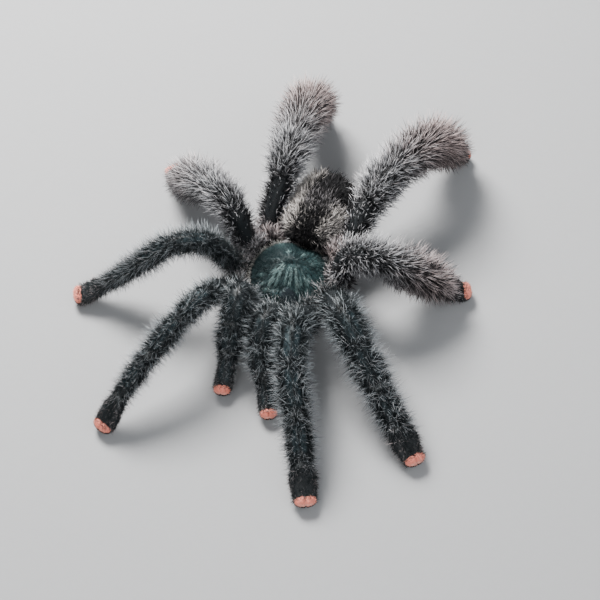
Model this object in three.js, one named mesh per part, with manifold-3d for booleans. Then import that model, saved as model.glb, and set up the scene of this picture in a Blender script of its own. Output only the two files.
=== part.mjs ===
// A dried, spread tarantula with pale toe pads, standing on the flat ends of its ten limbs.
// Millimetres, +Z up. The spider heads along -Y, so its right side is -X.
// Each solid holds its hair coat. A lock of hair is one surface point pulled out and
// towards the limb's tip, so the rows of points read as shag.
import * as THREE from 'three';
import { mergeVertices } from 'three/addons/utils/BufferGeometryUtils.js';
import Module from 'manifold-3d';

const wasm = await Module();
wasm.setup();

// Clearance between neighbours. The grown neighbour that cuts a solid is a little larger,
// because a lock's sloping sides come closer than its point.
const clearance = 0.45;

// Carapace: a domed shield over the bases of the limbs.
const carapace = {
  middle: [0.85, -1.7], // it sits a little to the left and forward of the ring of limbs
  rimLow: 6.0,          // underside of the rim above the ground
  rimHigh: 6.6,         // upper edge of the rim
  dome: 3.5,            // rise of the middle above the rim
  foveaY: 1.2,          // the pit behind its middle, where the furrows meet
  fringe: 0.7,          // hair fringe that stands past the rim
  reach: 8,             // usual distance from the pit to the rim
  spokes: 32,
};
// Half of the rim seen from above, from the front to the back: [out, along].
const rimHalf = [
  [0, -8.7], [2.9, -8.6], [4.9, -7.5], [6.2, -5.2], [7.5, -2.4],
  [8.0, 0.6], [7.5, 3.5], [5.9, 6.2], [3.2, 7.8], [0, 7.6],
];

// Abdomen: an egg-shaped sac on a narrow stalk, its front over the carapace's rear.
const abdomen = {
  center: [0.7, 14.8, 8.4],
  half: [7.2, 8.8, 6.4],     // half width, half length and half height with the hair
  yaw: -5,                   // turn of its long axis to the spider's left at the rear
  lift: 7,                   // its rear end stands higher by this angle
  lock: 1.0,
};
const stalk = { from: [0.6, 6.2, 4.9], to: [0.7, 9.6, 6.8], radius: 1.1 };
const spinneret = { out: 1.5, length: 4.2, radius: 0.8, drop: 2.4 };

// Sternum: the plate between the limb bases, with the body's floor and lip.
const sternum = { middleX: 0.3, halfWidth: 3.9, front: -7.0, back: 5.2, low: 3.0, high: 5.5 };

// Chelicerae: the two stout jaws under the front rim, with fangs folded back beneath.
const jaw = { out: 1.9, back: -9.3, high: 5.9, length: 6.6, pitch: -30, halfWidth: 1.65, halfHeight: 2.1 };
const fang = { length: 4.4, radius: 0.6, curl: 58, dip: 0.5 };

// Limbs. Their bases end at [out, along] on a ring round the sternum.
const baseEnds = {
  palp: [4.2, -10.4], leg_1: [8.0, -7.4], leg_2: [9.9, -2.7], leg_3: [9.9, 2.4], leg_4: [7.8, 7.3],
};
const baseStart = 0.45;      // a base starts at this share of its reach from the middle
const baseDip = 0.2;         // and this much lower than it ends
const tipHeight = 1.3;       // centre of every tip above the ground
// Femur, patella, tibia, metatarsus and tarsus. A palp has no metatarsus.
const lengths = {
  palp: [8.7, 5.5, 6.0, 7.8],
  leg_1: [13.1, 8.2, 10.0, 9.9, 7.2],
  leg_2: [11.9, 7.5, 9.2, 9.0, 7.0],
  leg_3: [10.4, 6.4, 7.5, 8.0, 6.2],
  leg_4: [14.0, 7.4, 10.3, 10.6, 6.9],
};
// The spread pose in degrees: the femur's heading outwards from straight ahead, the turn
// that the limb makes at its knee, and each segment's pitch above level.
const poses = {
  palp_right: { heading: -1, turn: -12, pitch: [61, -41, -39, -32] },
  palp_left: { heading: -13, turn: 45, pitch: [45, -34, -32, -29] },
  leg_1_right: { heading: 12, turn: 5, pitch: [42, 5, -18, -29, -44] },
  leg_1_left: { heading: 8, turn: 23, pitch: [40, -9, -21, -26, -25] },
  leg_2_right: { heading: 52, turn: 7, pitch: [58, 10, -39, -39, -32] },
  leg_2_left: { heading: 43, turn: 10, pitch: [36, -10, -23, -21, -23] },
  leg_3_right: { heading: 111, turn: 12, pitch: [59, 2, -40, -39, -31] },
  leg_3_left: { heading: 97, turn: 22, pitch: [71, -4, -40, -39, -32] },
  leg_4_right: { heading: 173, turn: -3, pitch: [46, 9, -10, -42, -53] },
  leg_4_left: { heading: 171, turn: -13, pitch: [24, 22, -1, -46, -49] },
};
// Half width and half height of the coat at stations along a limb: [joint, width, height, lock].
// Joint 0 is the base's inner end, 1 its outer end, 2 the knee, and the last one the tip.
const legCoat = [
  [0, 1.2, 1.6, 0], [0.5, 1.9, 1.9, 0], [1, 2.3, 2.2, 0.1], [1.25, 2.3, 2.3, 0.2], [1.5, 2.4, 2.4, 0.4],
  [1.75, 2.5, 2.6, 0.6], [2, 2.6, 2.8, 0.7], [2.33, 2.9, 2.8, 0.9], [2.67, 3.1, 2.8, 1], [3, 3.0, 2.8, 1],
  [3.25, 3.2, 2.9, 1.1], [3.5, 3.3, 3.0, 1.1], [3.75, 3.2, 2.9, 1], [4, 3.0, 2.7, 1], [4.25, 3.1, 2.7, 1],
  [4.5, 3.1, 2.7, 0.9], [4.75, 3.0, 2.4, 0.8], [5, 2.8, 2.0, 0.6], [5.25, 2.7, 1.75, 0.35],
  [5.5, 2.7, 1.6, 0.15], [5.75, 2.75, 1.5, 0], [5.95, 2.65, 1.4, 0], [6.05, 2.3, 1.2, 0], [6.11, 1.5, 0.8, 0],
];
const palpCoat = [
  [0, 1.2, 1.4, 0], [0.5, 1.6, 1.7, 0], [1, 1.9, 1.9, 0.1], [1.33, 1.9, 1.9, 0.2], [1.67, 2.0, 2.1, 0.4],
  [2, 2.1, 2.2, 0.5], [2.33, 2.4, 2.3, 0.7], [2.67, 2.5, 2.3, 0.8], [3, 2.5, 2.3, 0.9], [3.33, 2.6, 2.4, 1],
  [3.67, 2.7, 2.3, 0.9], [4, 2.5, 2.1, 0.8], [4.25, 2.5, 1.8, 0.5], [4.5, 2.4, 1.5, 0.2], [4.75, 2.3, 1.4, 0],
  [4.95, 2.2, 1.3, 0], [5.05, 1.8, 1.1, 0], [5.1, 1.2, 0.7, 0],
];
const limbSides = 12;
const lockOut = 1.0;         // a full lock stands this far past the coat
const lockAlong = 1.3;       // and leans this far towards the tip
const cleft = 0.75;          // depth of the notch between a tip's two lobes
const sole = 1.3;            // extra depth of the brush under a tip, cut flat by the ground
// Hair is longer towards the rear: share added to the locks of each pair. The coat grows
// most on its upper side, less across, and least below.
const bushiness = { palp: 0, leg_1: 0.05, leg_2: 0.1, leg_3: 0.25, leg_4: 0.55 };
const bushShare = { across: 0.4, above: 1.2, below: 0.2 };

// Degrees to radians.
const rad = THREE.MathUtils.degToRad;

// A value that rises smoothly from 0 to 1 between two limits.
const smooth = (low, high, x) => THREE.MathUtils.smoothstep(x, low, high);

// A bump with a smooth round top, 1 at its middle and fading over the given spread.
const bump = (distance, spread) => Math.exp(-((distance / spread) ** 2));

// Skins closed rings of equal count into one closed geometry, with a fan over each end.
// The diagonals of the quads join the points that are not locks, so each lock is a pyramid.
function skinRings(rings) {
  const sides = rings[0].length;
  const points = rings.flat();
  const index = [];
  for (let i = 0; i < rings.length - 1; i += 1) {
    for (let k = 0; k < sides; k += 1) {
      const a = i * sides + k;
      const b = i * sides + (k + 1) % sides;
      const c = a + sides;
      const d = b + sides;
      if ((i + k) % 2 === 0) {
        index.push(a, b, d, a, d, c);
      } else {
        index.push(a, b, c, b, d, c);
      }
    }
  }
  const capEnd = (ring, flip) => {
    const start = rings.indexOf(ring) * sides;
    const middle = ring.reduce((sum, p) => sum.add(p), new THREE.Vector3()).divideScalar(sides);
    points.push(middle);
    for (let k = 0; k < sides; k += 1) {
      const a = start + k;
      const b = start + (k + 1) % sides;
      index.push(...(flip ? [b, a] : [a, b]), points.length - 1);
    }
  };
  capEnd(rings[0], true);
  capEnd(rings[rings.length - 1], false);
  const geometry = new THREE.BufferGeometry().setFromPoints(points);
  geometry.setIndex(index);
  return geometry;
}

// A closed geometry as a solid that can be joined and cut.
function toSolid(geometry) {
  const bare = geometry.clone();
  bare.deleteAttribute('normal');
  bare.deleteAttribute('uv');
  const merged = mergeVertices(bare, 1e-4);
  return new wasm.Manifold(new wasm.Mesh({
    numProp: 3,
    vertProperties: new Float32Array(merged.attributes.position.array),
    triVerts: new Uint32Array(merged.index.array),
  }));
}

// A solid as a geometry, with flat facets.
function toGeometry(solid) {
  const mesh = solid.getMesh();
  const geometry = new THREE.BufferGeometry();
  geometry.setAttribute('position', new THREE.BufferAttribute(mesh.vertProperties, 3));
  geometry.setIndex(new THREE.BufferAttribute(mesh.triVerts, 1));
  geometry.computeVertexNormals();
  return geometry;
}

// The solid less the given neighbours. Scraps that a cut leaves loose are dropped.
function carve(solid, neighbours) {
  const cut = neighbours.reduce((rest, other) => rest.subtract(other), solid);
  const bodies = cut.decompose();
  return bodies.reduce((most, body) => (body.volume() > most.volume() ? body : most));
}

// The same solid cut off level with the ground.
const standOnGround = (solid) => solid.trimByPlane([0, 0, 1], 0);

// Limb name without its side, and -1 for the right side or 1 for the left.
const kindOf = (name) => name.replace(/_(right|left)$/, '');
const sideOf = (name) => (name.endsWith('right') ? -1 : 1);

// Joint points of a limb from its base's inner end to its tip, stepping out along each
// segment. The height of the base follows from the tip, which is set above the ground.
function limbJoints(name) {
  const kind = kindOf(name);
  const side = sideOf(name);
  const { heading, turn, pitch } = poses[name];
  const rise = pitch.reduce((sum, angle, j) => sum + lengths[kind][j] * Math.sin(rad(angle)), 0);
  const [out, along] = baseEnds[kind];
  const end = new THREE.Vector3(side * out, along, tipHeight - rise);
  const start = new THREE.Vector3(end.x * baseStart, end.y * baseStart, end.z - baseDip);
  const joints = [start, end];
  pitch.forEach((angle, j) => {
    const swing = rad(heading + turn * Math.min(j / 2, 1));
    const step = new THREE.Vector3(side * Math.sin(swing), -Math.cos(swing), Math.tan(rad(angle)));
    step.setLength(lengths[kind][j]);
    joints.push(joints[joints.length - 1].clone().add(step));
  });
  return joints;
}

// A limb as rings round the smooth line through its joints. A ring's points lie on an
// ellipse, and every second one is a lock. The last rings are notched into two lobes.
function limbSolid(name, grow = 0) {
  const kind = kindOf(name);
  const coat = kind === 'palp' ? palpCoat : legCoat;
  const joints = limbJoints(name);
  const line = new THREE.CatmullRomCurve3(joints, false, 'centripetal', 0.5);
  const last = joints.length - 1;
  const rings = coat.map(([joint, width, height, lock], i) => {
    const t = Math.min(joint / last, 1);
    const tangent = line.getTangent(t);
    const center = line.getPoint(t).addScaledVector(tangent, Math.max(joint - last, 0) * 10);
    const across = new THREE.Vector3(0, 0, 1).cross(tangent).normalize();
    const up = tangent.clone().cross(across);
    const bush = bushiness[kind] * smooth(0.7, 2.4, joint) * (1 - smooth(last - 0.7, last - 0.1, joint));
    return Array.from({ length: limbSides }, (_, k) => {
      const turn = (k / limbSides) * 2 * Math.PI;
      const isLock = (i + k) % 2 === 1;
      const out = (isLock ? lock * lockOut * (1 + bush) : 0) + grow;
      const half = height * (1 + bush * (turn < Math.PI ? bushShare.above : bushShare.below));
      const atTip = smooth(last - 0.5, last - 0.15, joint);
      const notch = cleft * atTip * bump(Math.cos(turn), 0.35);
      const brush = turn > Math.PI ? sole * atTip : 0;
      return center.clone()
        .addScaledVector(across, Math.cos(turn) * (width * (1 + bush * bushShare.across) + out))
        .addScaledVector(up, Math.sin(turn) * (half + out * 0.8 + brush))
        .addScaledVector(tangent, (isLock ? lock * lockAlong : 0) - notch);
    });
  });
  return toSolid(skinRings(rings));
}

// The rim as a closed loop of points about the carapace's middle, seen from above.
function rimLoop(count, grow) {
  const left = rimHalf.map(([x, y]) => new THREE.Vector3(x, y, 0));
  const right = rimHalf.slice(1, -1).reverse().map(([x, y]) => new THREE.Vector3(-x, y, 0));
  const loop = new THREE.CatmullRomCurve3([...left, ...right], true, 'centripetal');
  const center = new THREE.Vector3(0, carapace.foveaY, 0);
  return Array.from({ length: count }, (_, k) => {
    const point = loop.getPointAt(k / count);
    return point.addScaledVector(point.clone().sub(center).normalize(), grow);
  });
}

// Height of the carapace's upper side over a point about its middle: a dome from the pit to
// the rim, a raised head with an eye mound in front, and furrows that run out from the pit.
function shieldHeight(x, y, share) {
  const { rimHigh, dome, foveaY } = carapace;
  const angle = Math.atan2(Math.abs(x), foveaY - y);
  const furrows = [32, 68, 100, 132, 160].reduce((sum, at) => sum + bump(angle - rad(at), 0.13), 0);
  const band = smooth(0.12, 0.35, share) * (1 - smooth(0.75, 1, share));
  const head = 1.1 * bump(x, 3.2) * smooth(0.5, -3, y) * (1 - share ** 6);
  const eyeMound = 0.8 * bump(x, 1.3) * bump(y + 7.2, 0.9);
  const pit = 1.0 * bump(x, 1.1) * bump(y - foveaY, 0.7);
  return rimHigh + dome * (1 - share ** 2.3) + head + eyeMound - pit - 0.5 * furrows * band;
}

// The carapace: rings from the underside's middle out to the rim, and back over the dome.
// Each ring lies at a share of the way out, given for its even and for its odd points.
function carapaceSolid(grow = 0) {
  const { rimLow, rimHigh, foveaY, fringe, spokes } = carapace;
  const rim = rimLoop(spokes, grow);
  const inward = (p, share) => [p.x * share, foveaY + (p.y - foveaY) * share];
  const ring = (shares, heightAt) => rim.map((p, k) => {
    const [x, y] = inward(p, shares[k % 2]);
    return new THREE.Vector3(x, y, heightAt(x, y));
  });
  const under = [0.3, 0.7, 0.97].map((share) => ring([share, share], () => rimLow - grow));
  const edge = ring([1 + fringe / carapace.reach, 1], () => (rimLow + rimHigh) / 2);
  const over = [0.985, 0.9, 0.78, 0.65, 0.52, 0.39, 0.26, 0.13].map((share) => (
    ring([share, share], (x, y) => shieldHeight(x, y, share) + grow)));
  const shield = toSolid(skinRings([...under, edge, ...over]));
  return shield.translate([...carapace.middle, 0]);
}

// An egg with shag: rings along +Y, turned and moved into place.
// Its half width follows a sine from end to end, fuller behind the middle.
function eggSolid(part, grow = 0, sides = 20, steps = 15) {
  const [halfWidth, halfLength, halfHeight] = part.half;
  const turnY = new THREE.Quaternion().setFromEuler(new THREE.Euler(rad(part.lift), 0, rad(part.yaw)));
  const center = new THREE.Vector3(...part.center);
  const rings = Array.from({ length: steps + 1 }, (_, i) => {
    const share = (i + 0.35) / (steps + 0.7);
    const swell = Math.sin(Math.PI * share ** 0.92) ** 0.72;
    return Array.from({ length: sides }, (__, k) => {
      const turn = (k / sides) * 2 * Math.PI;
      const isLock = (i + k) % 2 === 1 && i > 0 && i < steps;
      const out = (isLock ? part.lock * (0.35 + 0.65 * Math.sin(turn) ** 2) : 0) + grow;
      return new THREE.Vector3(
        -Math.cos(turn) * (halfWidth * swell + out),
        -Math.cos(Math.PI * share) * (halfLength + grow) + (isLock ? part.lock : 0),
        Math.sin(turn) * (halfHeight * swell + out),
      ).applyQuaternion(turnY).add(center);
    });
  });
  return toSolid(skinRings(rings));
}

// A tapering rod along a curve, its radius a function of the share of its length.
function rodSolid(points, radiusAt, sides, steps) {
  const line = new THREE.CatmullRomCurve3(points.map((p) => new THREE.Vector3(...p)));
  const rings = Array.from({ length: steps + 1 }, (_, i) => {
    const tangent = line.getTangent(i / steps);
    const center = line.getPoint(i / steps);
    const across = new THREE.Vector3(0, 0, 1).cross(tangent).normalize();
    const up = tangent.clone().cross(across);
    return Array.from({ length: sides }, (__, k) => {
      const turn = (k / sides) * 2 * Math.PI;
      return center.clone()
        .addScaledVector(across, Math.cos(turn) * radiusAt(i / steps)[0])
        .addScaledVector(up, Math.sin(turn) * radiusAt(i / steps)[1]);
    });
  });
  return toSolid(skinRings(rings));
}

// The abdomen with its stalk.
function abdomenSolid(grow = 0) {
  const rod = rodSolid([stalk.from, stalk.to], () => [stalk.radius + grow, stalk.radius + grow], 10, 3);
  return eggSolid(abdomen, grow).add(rod);
}

// The sternum: a heart-shaped plate, low in its middle, on the body's floor.
function sternumSolid(grow = 0) {
  const { middleX, halfWidth, front, back, low, high } = sternum;
  const sides = 20;
  const middle = (front + back) / 2;
  const half = (back - front) / 2;
  const layers = [[0.45, low], [0.85, low + 0.35], [1, low + 1.2], [1, high]];
  const rings = layers.map(([share, z], i) => Array.from({ length: sides }, (_, k) => {
    const turn = (k / sides) * 2 * Math.PI;
    const narrow = 1 - 0.22 * Math.sin(turn);
    const drop = i === layers.length - 1 ? grow : -grow;
    return new THREE.Vector3(
      middleX + Math.cos(turn) * (halfWidth * share * narrow + grow),
      middle + Math.sin(turn) * (half * share + grow),
      z + drop,
    );
  }));
  return toSolid(skinRings(rings));
}

// Points of a jaw's middle line, from under the rim forwards and down.
function jawLine(side) {
  const { out, back, high, length, pitch } = jaw;
  const reach = (share) => [
    carapace.middle[0] + side * out,
    back - Math.cos(rad(pitch)) * length * share,
    high + Math.sin(rad(pitch)) * length * share + 0.9 * Math.sin(Math.PI * share),
  ];
  return [0, 0.35, 0.7, 1].map(reach);
}

// A jaw: full in its middle and round at its lower end.
function jawSolid(side, grow = 0) {
  const { halfWidth, halfHeight } = jaw;
  const full = (share) => 0.84 + 0.16 * Math.sin(Math.PI * share) - 0.5 * smooth(0.82, 1, share) ** 2;
  const radiusAt = (share) => [halfWidth * full(share) + grow, halfHeight * full(share) + grow];
  return rodSolid(jawLine(side), radiusAt, 12, 9);
}

// A fang: a curved spike that folds back under its jaw from the lower end.
function fangSolid(side) {
  const [x, y, z] = jawLine(side)[3];
  const start = [x, y - 0.3, z - 1.4];
  const along = (share) => [
    x - side * 0.5 * share,
    start[1] + fang.length * Math.sin(rad(fang.curl) * share) / Math.sin(rad(fang.curl)),
    start[2] - fang.dip * Math.sin(Math.PI * share * 0.8),
  ];
  const radiusAt = (share) => Array(2).fill(fang.radius * (1 - 0.85 * share));
  return rodSolid([0, 0.33, 0.67, 1].map(along), radiusAt, 8, 8);
}

// A spinneret: a soft finger behind and below the abdomen's end.
function spinneretSolid(side) {
  const [cx, cy, cz] = abdomen.center;
  const start = [cx + side * spinneret.out, cy + abdomen.half[1] * 0.78, cz - spinneret.drop];
  const end = [start[0] + side * 0.9, start[1] + spinneret.length, start[2] + 0.2];
  const radiusAt = (share) => Array(2).fill(spinneret.radius * (1 - 0.45 * share ** 2));
  return rodSolid([start, end], radiusAt, 10, 5);
}

const finish = (color, roughness) => new THREE.MeshStandardMaterial({ color, roughness, metalness: 0 });

// Every piece gets a material of its own.
const finishes = {
  shield: () => finish(0x1f4a50, 0.45),
  abdomenHair: () => finish(0x6b5f54, 0.9),
  plate: () => finish(0x2a211c, 0.75),
  jawHair: () => finish(0x3a2620, 0.8),
  fangShell: () => finish(0x0d0a09, 0.2),
  legHair: () => finish(0x3d3c40, 0.9),
};

const group = new THREE.Group();

// Adds a solid to the group as a named mesh with its own material.
function place(name, solid, material) {
  const mesh = new THREE.Mesh(toGeometry(solid), material);
  mesh.name = name;
  group.add(mesh);
}

// Every piece is cut by the grown forms of those placed before it.
const placed = [];
function placeCarved(name, build, material) {
  place(name, standOnGround(carve(build(0), placed)), material);
  placed.push(build(clearance));
}

placeCarved('carapace', carapaceSolid, finishes.shield());
placeCarved('sternum', sternumSolid, finishes.plate());
Object.keys(poses).filter((name) => name.startsWith('palp')).forEach((name) => {
  placeCarved(name, (grow) => limbSolid(name, grow), finishes.legHair());
});
[['right', -1], ['left', 1]].forEach(([label, side]) => {
  placeCarved(`chelicera_${label}`, (grow) => jawSolid(side, grow), finishes.jawHair());
});
placeCarved('abdomen', abdomenSolid, finishes.abdomenHair());
Object.keys(poses).filter((name) => name.startsWith('leg')).forEach((name) => {
  placeCarved(name, (grow) => limbSolid(name, grow), finishes.legHair());
});
[['right', -1], ['left', 1]].forEach(([label, side]) => {
  place(`fang_${label}`, carve(fangSolid(side), placed), finishes.fangShell());
  place(`spinneret_${label}`, carve(spinneretSolid(side), placed), finishes.plate());
});

// The origin is the middle of the box's underside.
const box = new THREE.Box3().setFromObject(group);
const middle = box.getCenter(new THREE.Vector3());
group.children.forEach((mesh) => mesh.position.set(-middle.x, -middle.y, -box.min.z));

export default group;
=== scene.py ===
import math
import bpy
import numpy as np
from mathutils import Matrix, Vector


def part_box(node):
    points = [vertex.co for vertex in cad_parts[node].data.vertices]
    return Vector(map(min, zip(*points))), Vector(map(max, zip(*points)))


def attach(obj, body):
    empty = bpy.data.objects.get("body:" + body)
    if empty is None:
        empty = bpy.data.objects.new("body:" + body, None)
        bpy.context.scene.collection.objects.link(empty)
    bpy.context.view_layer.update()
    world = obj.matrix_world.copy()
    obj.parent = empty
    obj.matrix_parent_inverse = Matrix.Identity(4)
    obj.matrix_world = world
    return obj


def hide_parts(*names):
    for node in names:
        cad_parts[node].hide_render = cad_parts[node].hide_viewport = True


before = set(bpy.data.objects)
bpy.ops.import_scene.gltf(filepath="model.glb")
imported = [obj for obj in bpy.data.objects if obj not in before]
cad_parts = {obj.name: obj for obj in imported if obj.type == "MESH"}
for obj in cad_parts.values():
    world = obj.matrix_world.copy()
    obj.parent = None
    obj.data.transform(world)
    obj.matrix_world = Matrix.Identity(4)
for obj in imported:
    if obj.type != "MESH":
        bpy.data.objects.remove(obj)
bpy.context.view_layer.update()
mm = 0.001  # metres in a millimetre: the script's own lengths are in millimetres
random = np.random.default_rng(7)


def unit(v):  # each vector divided by its length
    return v / np.maximum(np.linalg.norm(v, axis=-1, keepdims=True), 1e-9)


def smooth(low, high, x):  # rises from 0 to 1 between two limits, level at both
    t = np.clip((x - low) / (high - low), 0, 1)
    return t * t * (3 - 2 * t)


def bump(distance, spread):  # a bell, 1 at its middle
    return np.exp(-((distance / spread) ** 2))


def along(stations, column, x):
    # A column's value at x, straight from station to station. The mean of three near places rounds corners.
    table = np.array(stations, float)
    near = [np.interp(x + shift, table[:, 0], table[:, column]) for shift in (-0.05, 0, 0.05)]
    return np.mean(near, axis=0)


def tubeFaces(rows, columns):  # triangles over a grid that wraps round, with one point closing each end
    i, k = np.meshgrid(np.arange(rows - 1), np.arange(columns), indexing="ij")
    a = i * columns + k
    b = i * columns + (k + 1) % columns
    c, d = a + columns, b + columns
    sides = np.stack([np.stack([a, b, d], -1), np.stack([a, d, c], -1)], -2).reshape(-1, 3)
    k = np.arange(columns)
    after = (k + 1) % columns
    first = np.stack([after, k, np.full(columns, rows * columns)], -1)
    start = (rows - 1) * columns
    last = np.stack([start + k, start + after, np.full(columns, rows * columns + 1)], -1)
    return np.concatenate([sides, first, last])


def tubeGrid(places, columns):  # the places along a tube and the turns round it, one row for each ring
    return np.meshgrid(places, np.arange(columns) / columns * 2 * math.pi, indexing="ij")


def closeTube(grid):  # grid points with the middle of the first and last ring added
    ends = np.stack([grid[0].mean(0), grid[-1].mean(0)])
    return np.concatenate([grid.reshape(-1, 3), ends])


def addPiece(name, points, faces, materials, slot, nodes=(), values=None, faceSlots=None):
    # Points and faces become a piece at the origin that rides on the body and stands for the solids in
    # nodes. Values are colours at its points, by attribute, and faceSlots says which material each face has.
    mesh = bpy.data.meshes.new(name)
    mesh.from_pydata(points * mm, [], faces)
    mesh.polygons.foreach_set("use_smooth", np.ones(len(faces), bool))
    for key, value in (values or {}).items():
        layer = mesh.attributes.new(key, "FLOAT_COLOR", "POINT")
        layer.data.foreach_set("color", np.column_stack([value, np.ones(len(value))]).ravel())
    for material in materials:
        mesh.materials.append(material)
    if faceSlots is not None:
        mesh.polygons.foreach_set("material_index", faceSlots)
    mesh.update()
    piece = bpy.data.objects.new(name, mesh)
    bpy.context.collection.objects.link(piece)
    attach(piece, "root")
    if nodes:
        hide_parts(*nodes)


# The body plan in millimetres and degrees, as the solids have it. Right and left are the spider's own.
plan = {
    "shield": {"middle": (0.85, -1.7), "rimLow": 6.0, "rimHigh": 6.6, "dome": 3.5, "foveaY": 1.2},
    "rimHalf": [(0, -8.7), (2.9, -8.6), (4.9, -7.5), (6.2, -5.2), (7.5, -2.4),
                (8.0, 0.6), (7.5, 3.5), (5.9, 6.2), (3.2, 7.8), (0, 7.6)],
    "abdomen": {"center": (0.7, 14.8, 8.4), "half": (7.2, 8.8, 6.4), "yaw": -5, "lift": 7},
    "sternum": {"middleX": 0.3, "halfWidth": 3.9, "front": -7.0, "back": 5.2, "low": 3.0, "high": 5.5},
    "jaw": {"out": 1.9, "back": -9.3, "high": 5.9, "length": 6.6, "pitch": -30, "halfWidth": 1.65,
            "halfHeight": 2.1},
    "fang": {"length": 4.4, "radius": 0.6, "curl": 58, "dip": 0.5},
    "spinneret": {"out": 1.5, "length": 4.2, "radius": 0.8, "drop": 2.4},
    "baseEnds": {"palp": (4.2, -10.4), "leg_1": (8.0, -7.4), "leg_2": (9.9, -2.7), "leg_3": (9.9, 2.4),
                 "leg_4": (7.8, 7.3)},
    "baseStart": 0.45, "baseDip": 0.2, "tipHeight": 1.3,
    "lengths": {"palp": (8.7, 5.5, 6.0, 7.8), "leg_1": (13.1, 8.2, 10.0, 9.9, 7.2),
                "leg_2": (11.9, 7.5, 9.2, 9.0, 7.0), "leg_3": (10.4, 6.4, 7.5, 8.0, 6.2),
                "leg_4": (14.0, 7.4, 10.3, 10.6, 6.9)},
    "poses": {  # heading of the femur, turn at the knee, and each segment's pitch
        "palp_right": (-1, -12, (61, -41, -39, -32)),
        "palp_left": (-13, 45, (45, -34, -32, -29)),
        "leg_1_right": (12, 5, (42, 5, -18, -29, -44)),
        "leg_1_left": (8, 23, (40, -9, -21, -26, -25)),
        "leg_2_right": (52, 7, (58, 10, -39, -39, -32)),
        "leg_2_left": (43, 10, (36, -10, -23, -21, -23)),
        "leg_3_right": (111, 12, (59, 2, -40, -39, -31)),
        "leg_3_left": (97, 22, (71, -4, -40, -39, -32)),
        "leg_4_right": (173, -3, (46, 9, -10, -42, -53)),
        "leg_4_left": (171, -13, (24, 22, -1, -46, -49)),
    },
}
# The frame's origin is under the middle of the whole box. The sternum's box says how far that is from the
# plan's own origin.
plateLow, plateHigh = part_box("sternum")
origin = (
    (plateLow[0] + plateHigh[0]) / 2 / mm - plan["sternum"]["middleX"],
    (plateLow[1] + plateHigh[1]) / 2 / mm - (plan["sternum"]["front"] + plan["sternum"]["back"]) / 2,
    0,
)

view = {
    "azimuth": 24.6, "elevation": 55.0, "distance": 430, "target": (3.5, -2.0, 0),  # degrees and millimetres
    "lens": 123.5,  # on a 36 mm sensor
}


def addCamera():  # stands back from the target along the line of its azimuth and elevation
    turn, rise = math.radians(view["azimuth"]), math.radians(view["elevation"])
    back = Vector((math.sin(turn) * math.cos(rise), -math.cos(turn) * math.cos(rise), math.sin(rise)))
    data = bpy.data.cameras.new("camera")
    data.lens = view["lens"]
    camera = bpy.data.objects.new("camera", data)
    bpy.context.collection.objects.link(camera)
    target = (Vector(view["target"]) + Vector(origin)) * mm
    camera.location = target + back * view["distance"] * mm
    camera.rotation_euler = back.to_track_quat("Z", "Y").to_euler()
    bpy.context.scene.camera = camera


light = {
    # Direction as the camera sees it (right, away, up), distance, size, watts and colour
    "key": ((-0.42, 0.8, 1.0), 420, 170, 6.4, (1.0, 0.985, 0.96)),
    "fill": ((0.9, -0.4, 0.9), 520, 420, 0.9, (0.94, 0.97, 1.0)),
    "front": ((-0.3, -1.0, 0.8), 520, 360, 1.1, (1.0, 1.0, 1.0)),
    "worldColor": (0.82, 0.86, 0.9), "worldStrength": 0.3,
}


def addLights():  # square lamps that face the origin, and an even sky
    turn = math.radians(view["azimuth"])
    for name in ("key", "fill", "front"):
        (right, away, rise), distance, size, watts, color = light[name]
        aim = Vector((right * math.cos(turn) - away * math.sin(turn),
                      right * math.sin(turn) + away * math.cos(turn), rise)).normalized()
        data = bpy.data.lights.new(name, "AREA")
        data.size = size * mm
        data.energy = watts
        data.color = color
        lamp = bpy.data.objects.new(name, data)
        bpy.context.collection.objects.link(lamp)
        lamp.location = aim * distance * mm
        lamp.rotation_euler = aim.to_track_quat("Z", "Y").to_euler()
    sky = bpy.data.worlds.new("studio")
    sky.use_nodes = True
    background = sky.node_tree.nodes["Background"]
    background.inputs["Color"].default_value = (*light["worldColor"], 1)
    background.inputs["Strength"].default_value = light["worldStrength"]
    bpy.context.scene.world = sky


def newMaterial(name, **values):  # a material with the shader's own sockets set
    material = bpy.data.materials.new(name)
    material.use_nodes = True
    shader = material.node_tree.nodes["Principled BSDF"]
    for key, value in values.items():
        shader.inputs[key.replace("_", " ")].default_value = value
    return material, material.node_tree, shader


def addNode(tree, kind, **inputs):
    # A node with its inputs set, or linked where the value is a socket. n_ leads the name of one of the
    # node's properties, and i_ the number of an input that shares its name with others.
    node = tree.nodes.new(kind)
    for key, value in inputs.items():
        if key.startswith("n_"):
            setattr(node, key[2:], value)
            continue
        socket = node.inputs[int(key[2:])] if key.startswith("i_") else node.inputs[key.replace("_", " ")]
        if isinstance(value, bpy.types.NodeSocket):
            tree.links.new(value, socket)
        else:
            socket.default_value = value
    return node


def addBump(tree, shader, height, strength, distance):  # a relief of this many millimetres on the shader
    node = addNode(tree, "ShaderNodeBump", Height=height, Strength=strength, Distance=distance * mm)
    tree.links.new(node.outputs["Normal"], shader.inputs["Normal"])


def mixColor(tree, factor, low, high):  # a colour between two, each a colour or a socket
    node = tree.nodes.new("ShaderNodeMix")
    node.data_type = "RGBA"
    for socket, value in ((node.inputs[0], factor), (node.inputs[6], low), (node.inputs[7], high)):
        if isinstance(value, bpy.types.NodeSocket):
            tree.links.new(value, socket)
        else:
            socket.default_value = value if isinstance(value, (int, float)) else (*value[:3], 1)
    return node.outputs[2]


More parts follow.
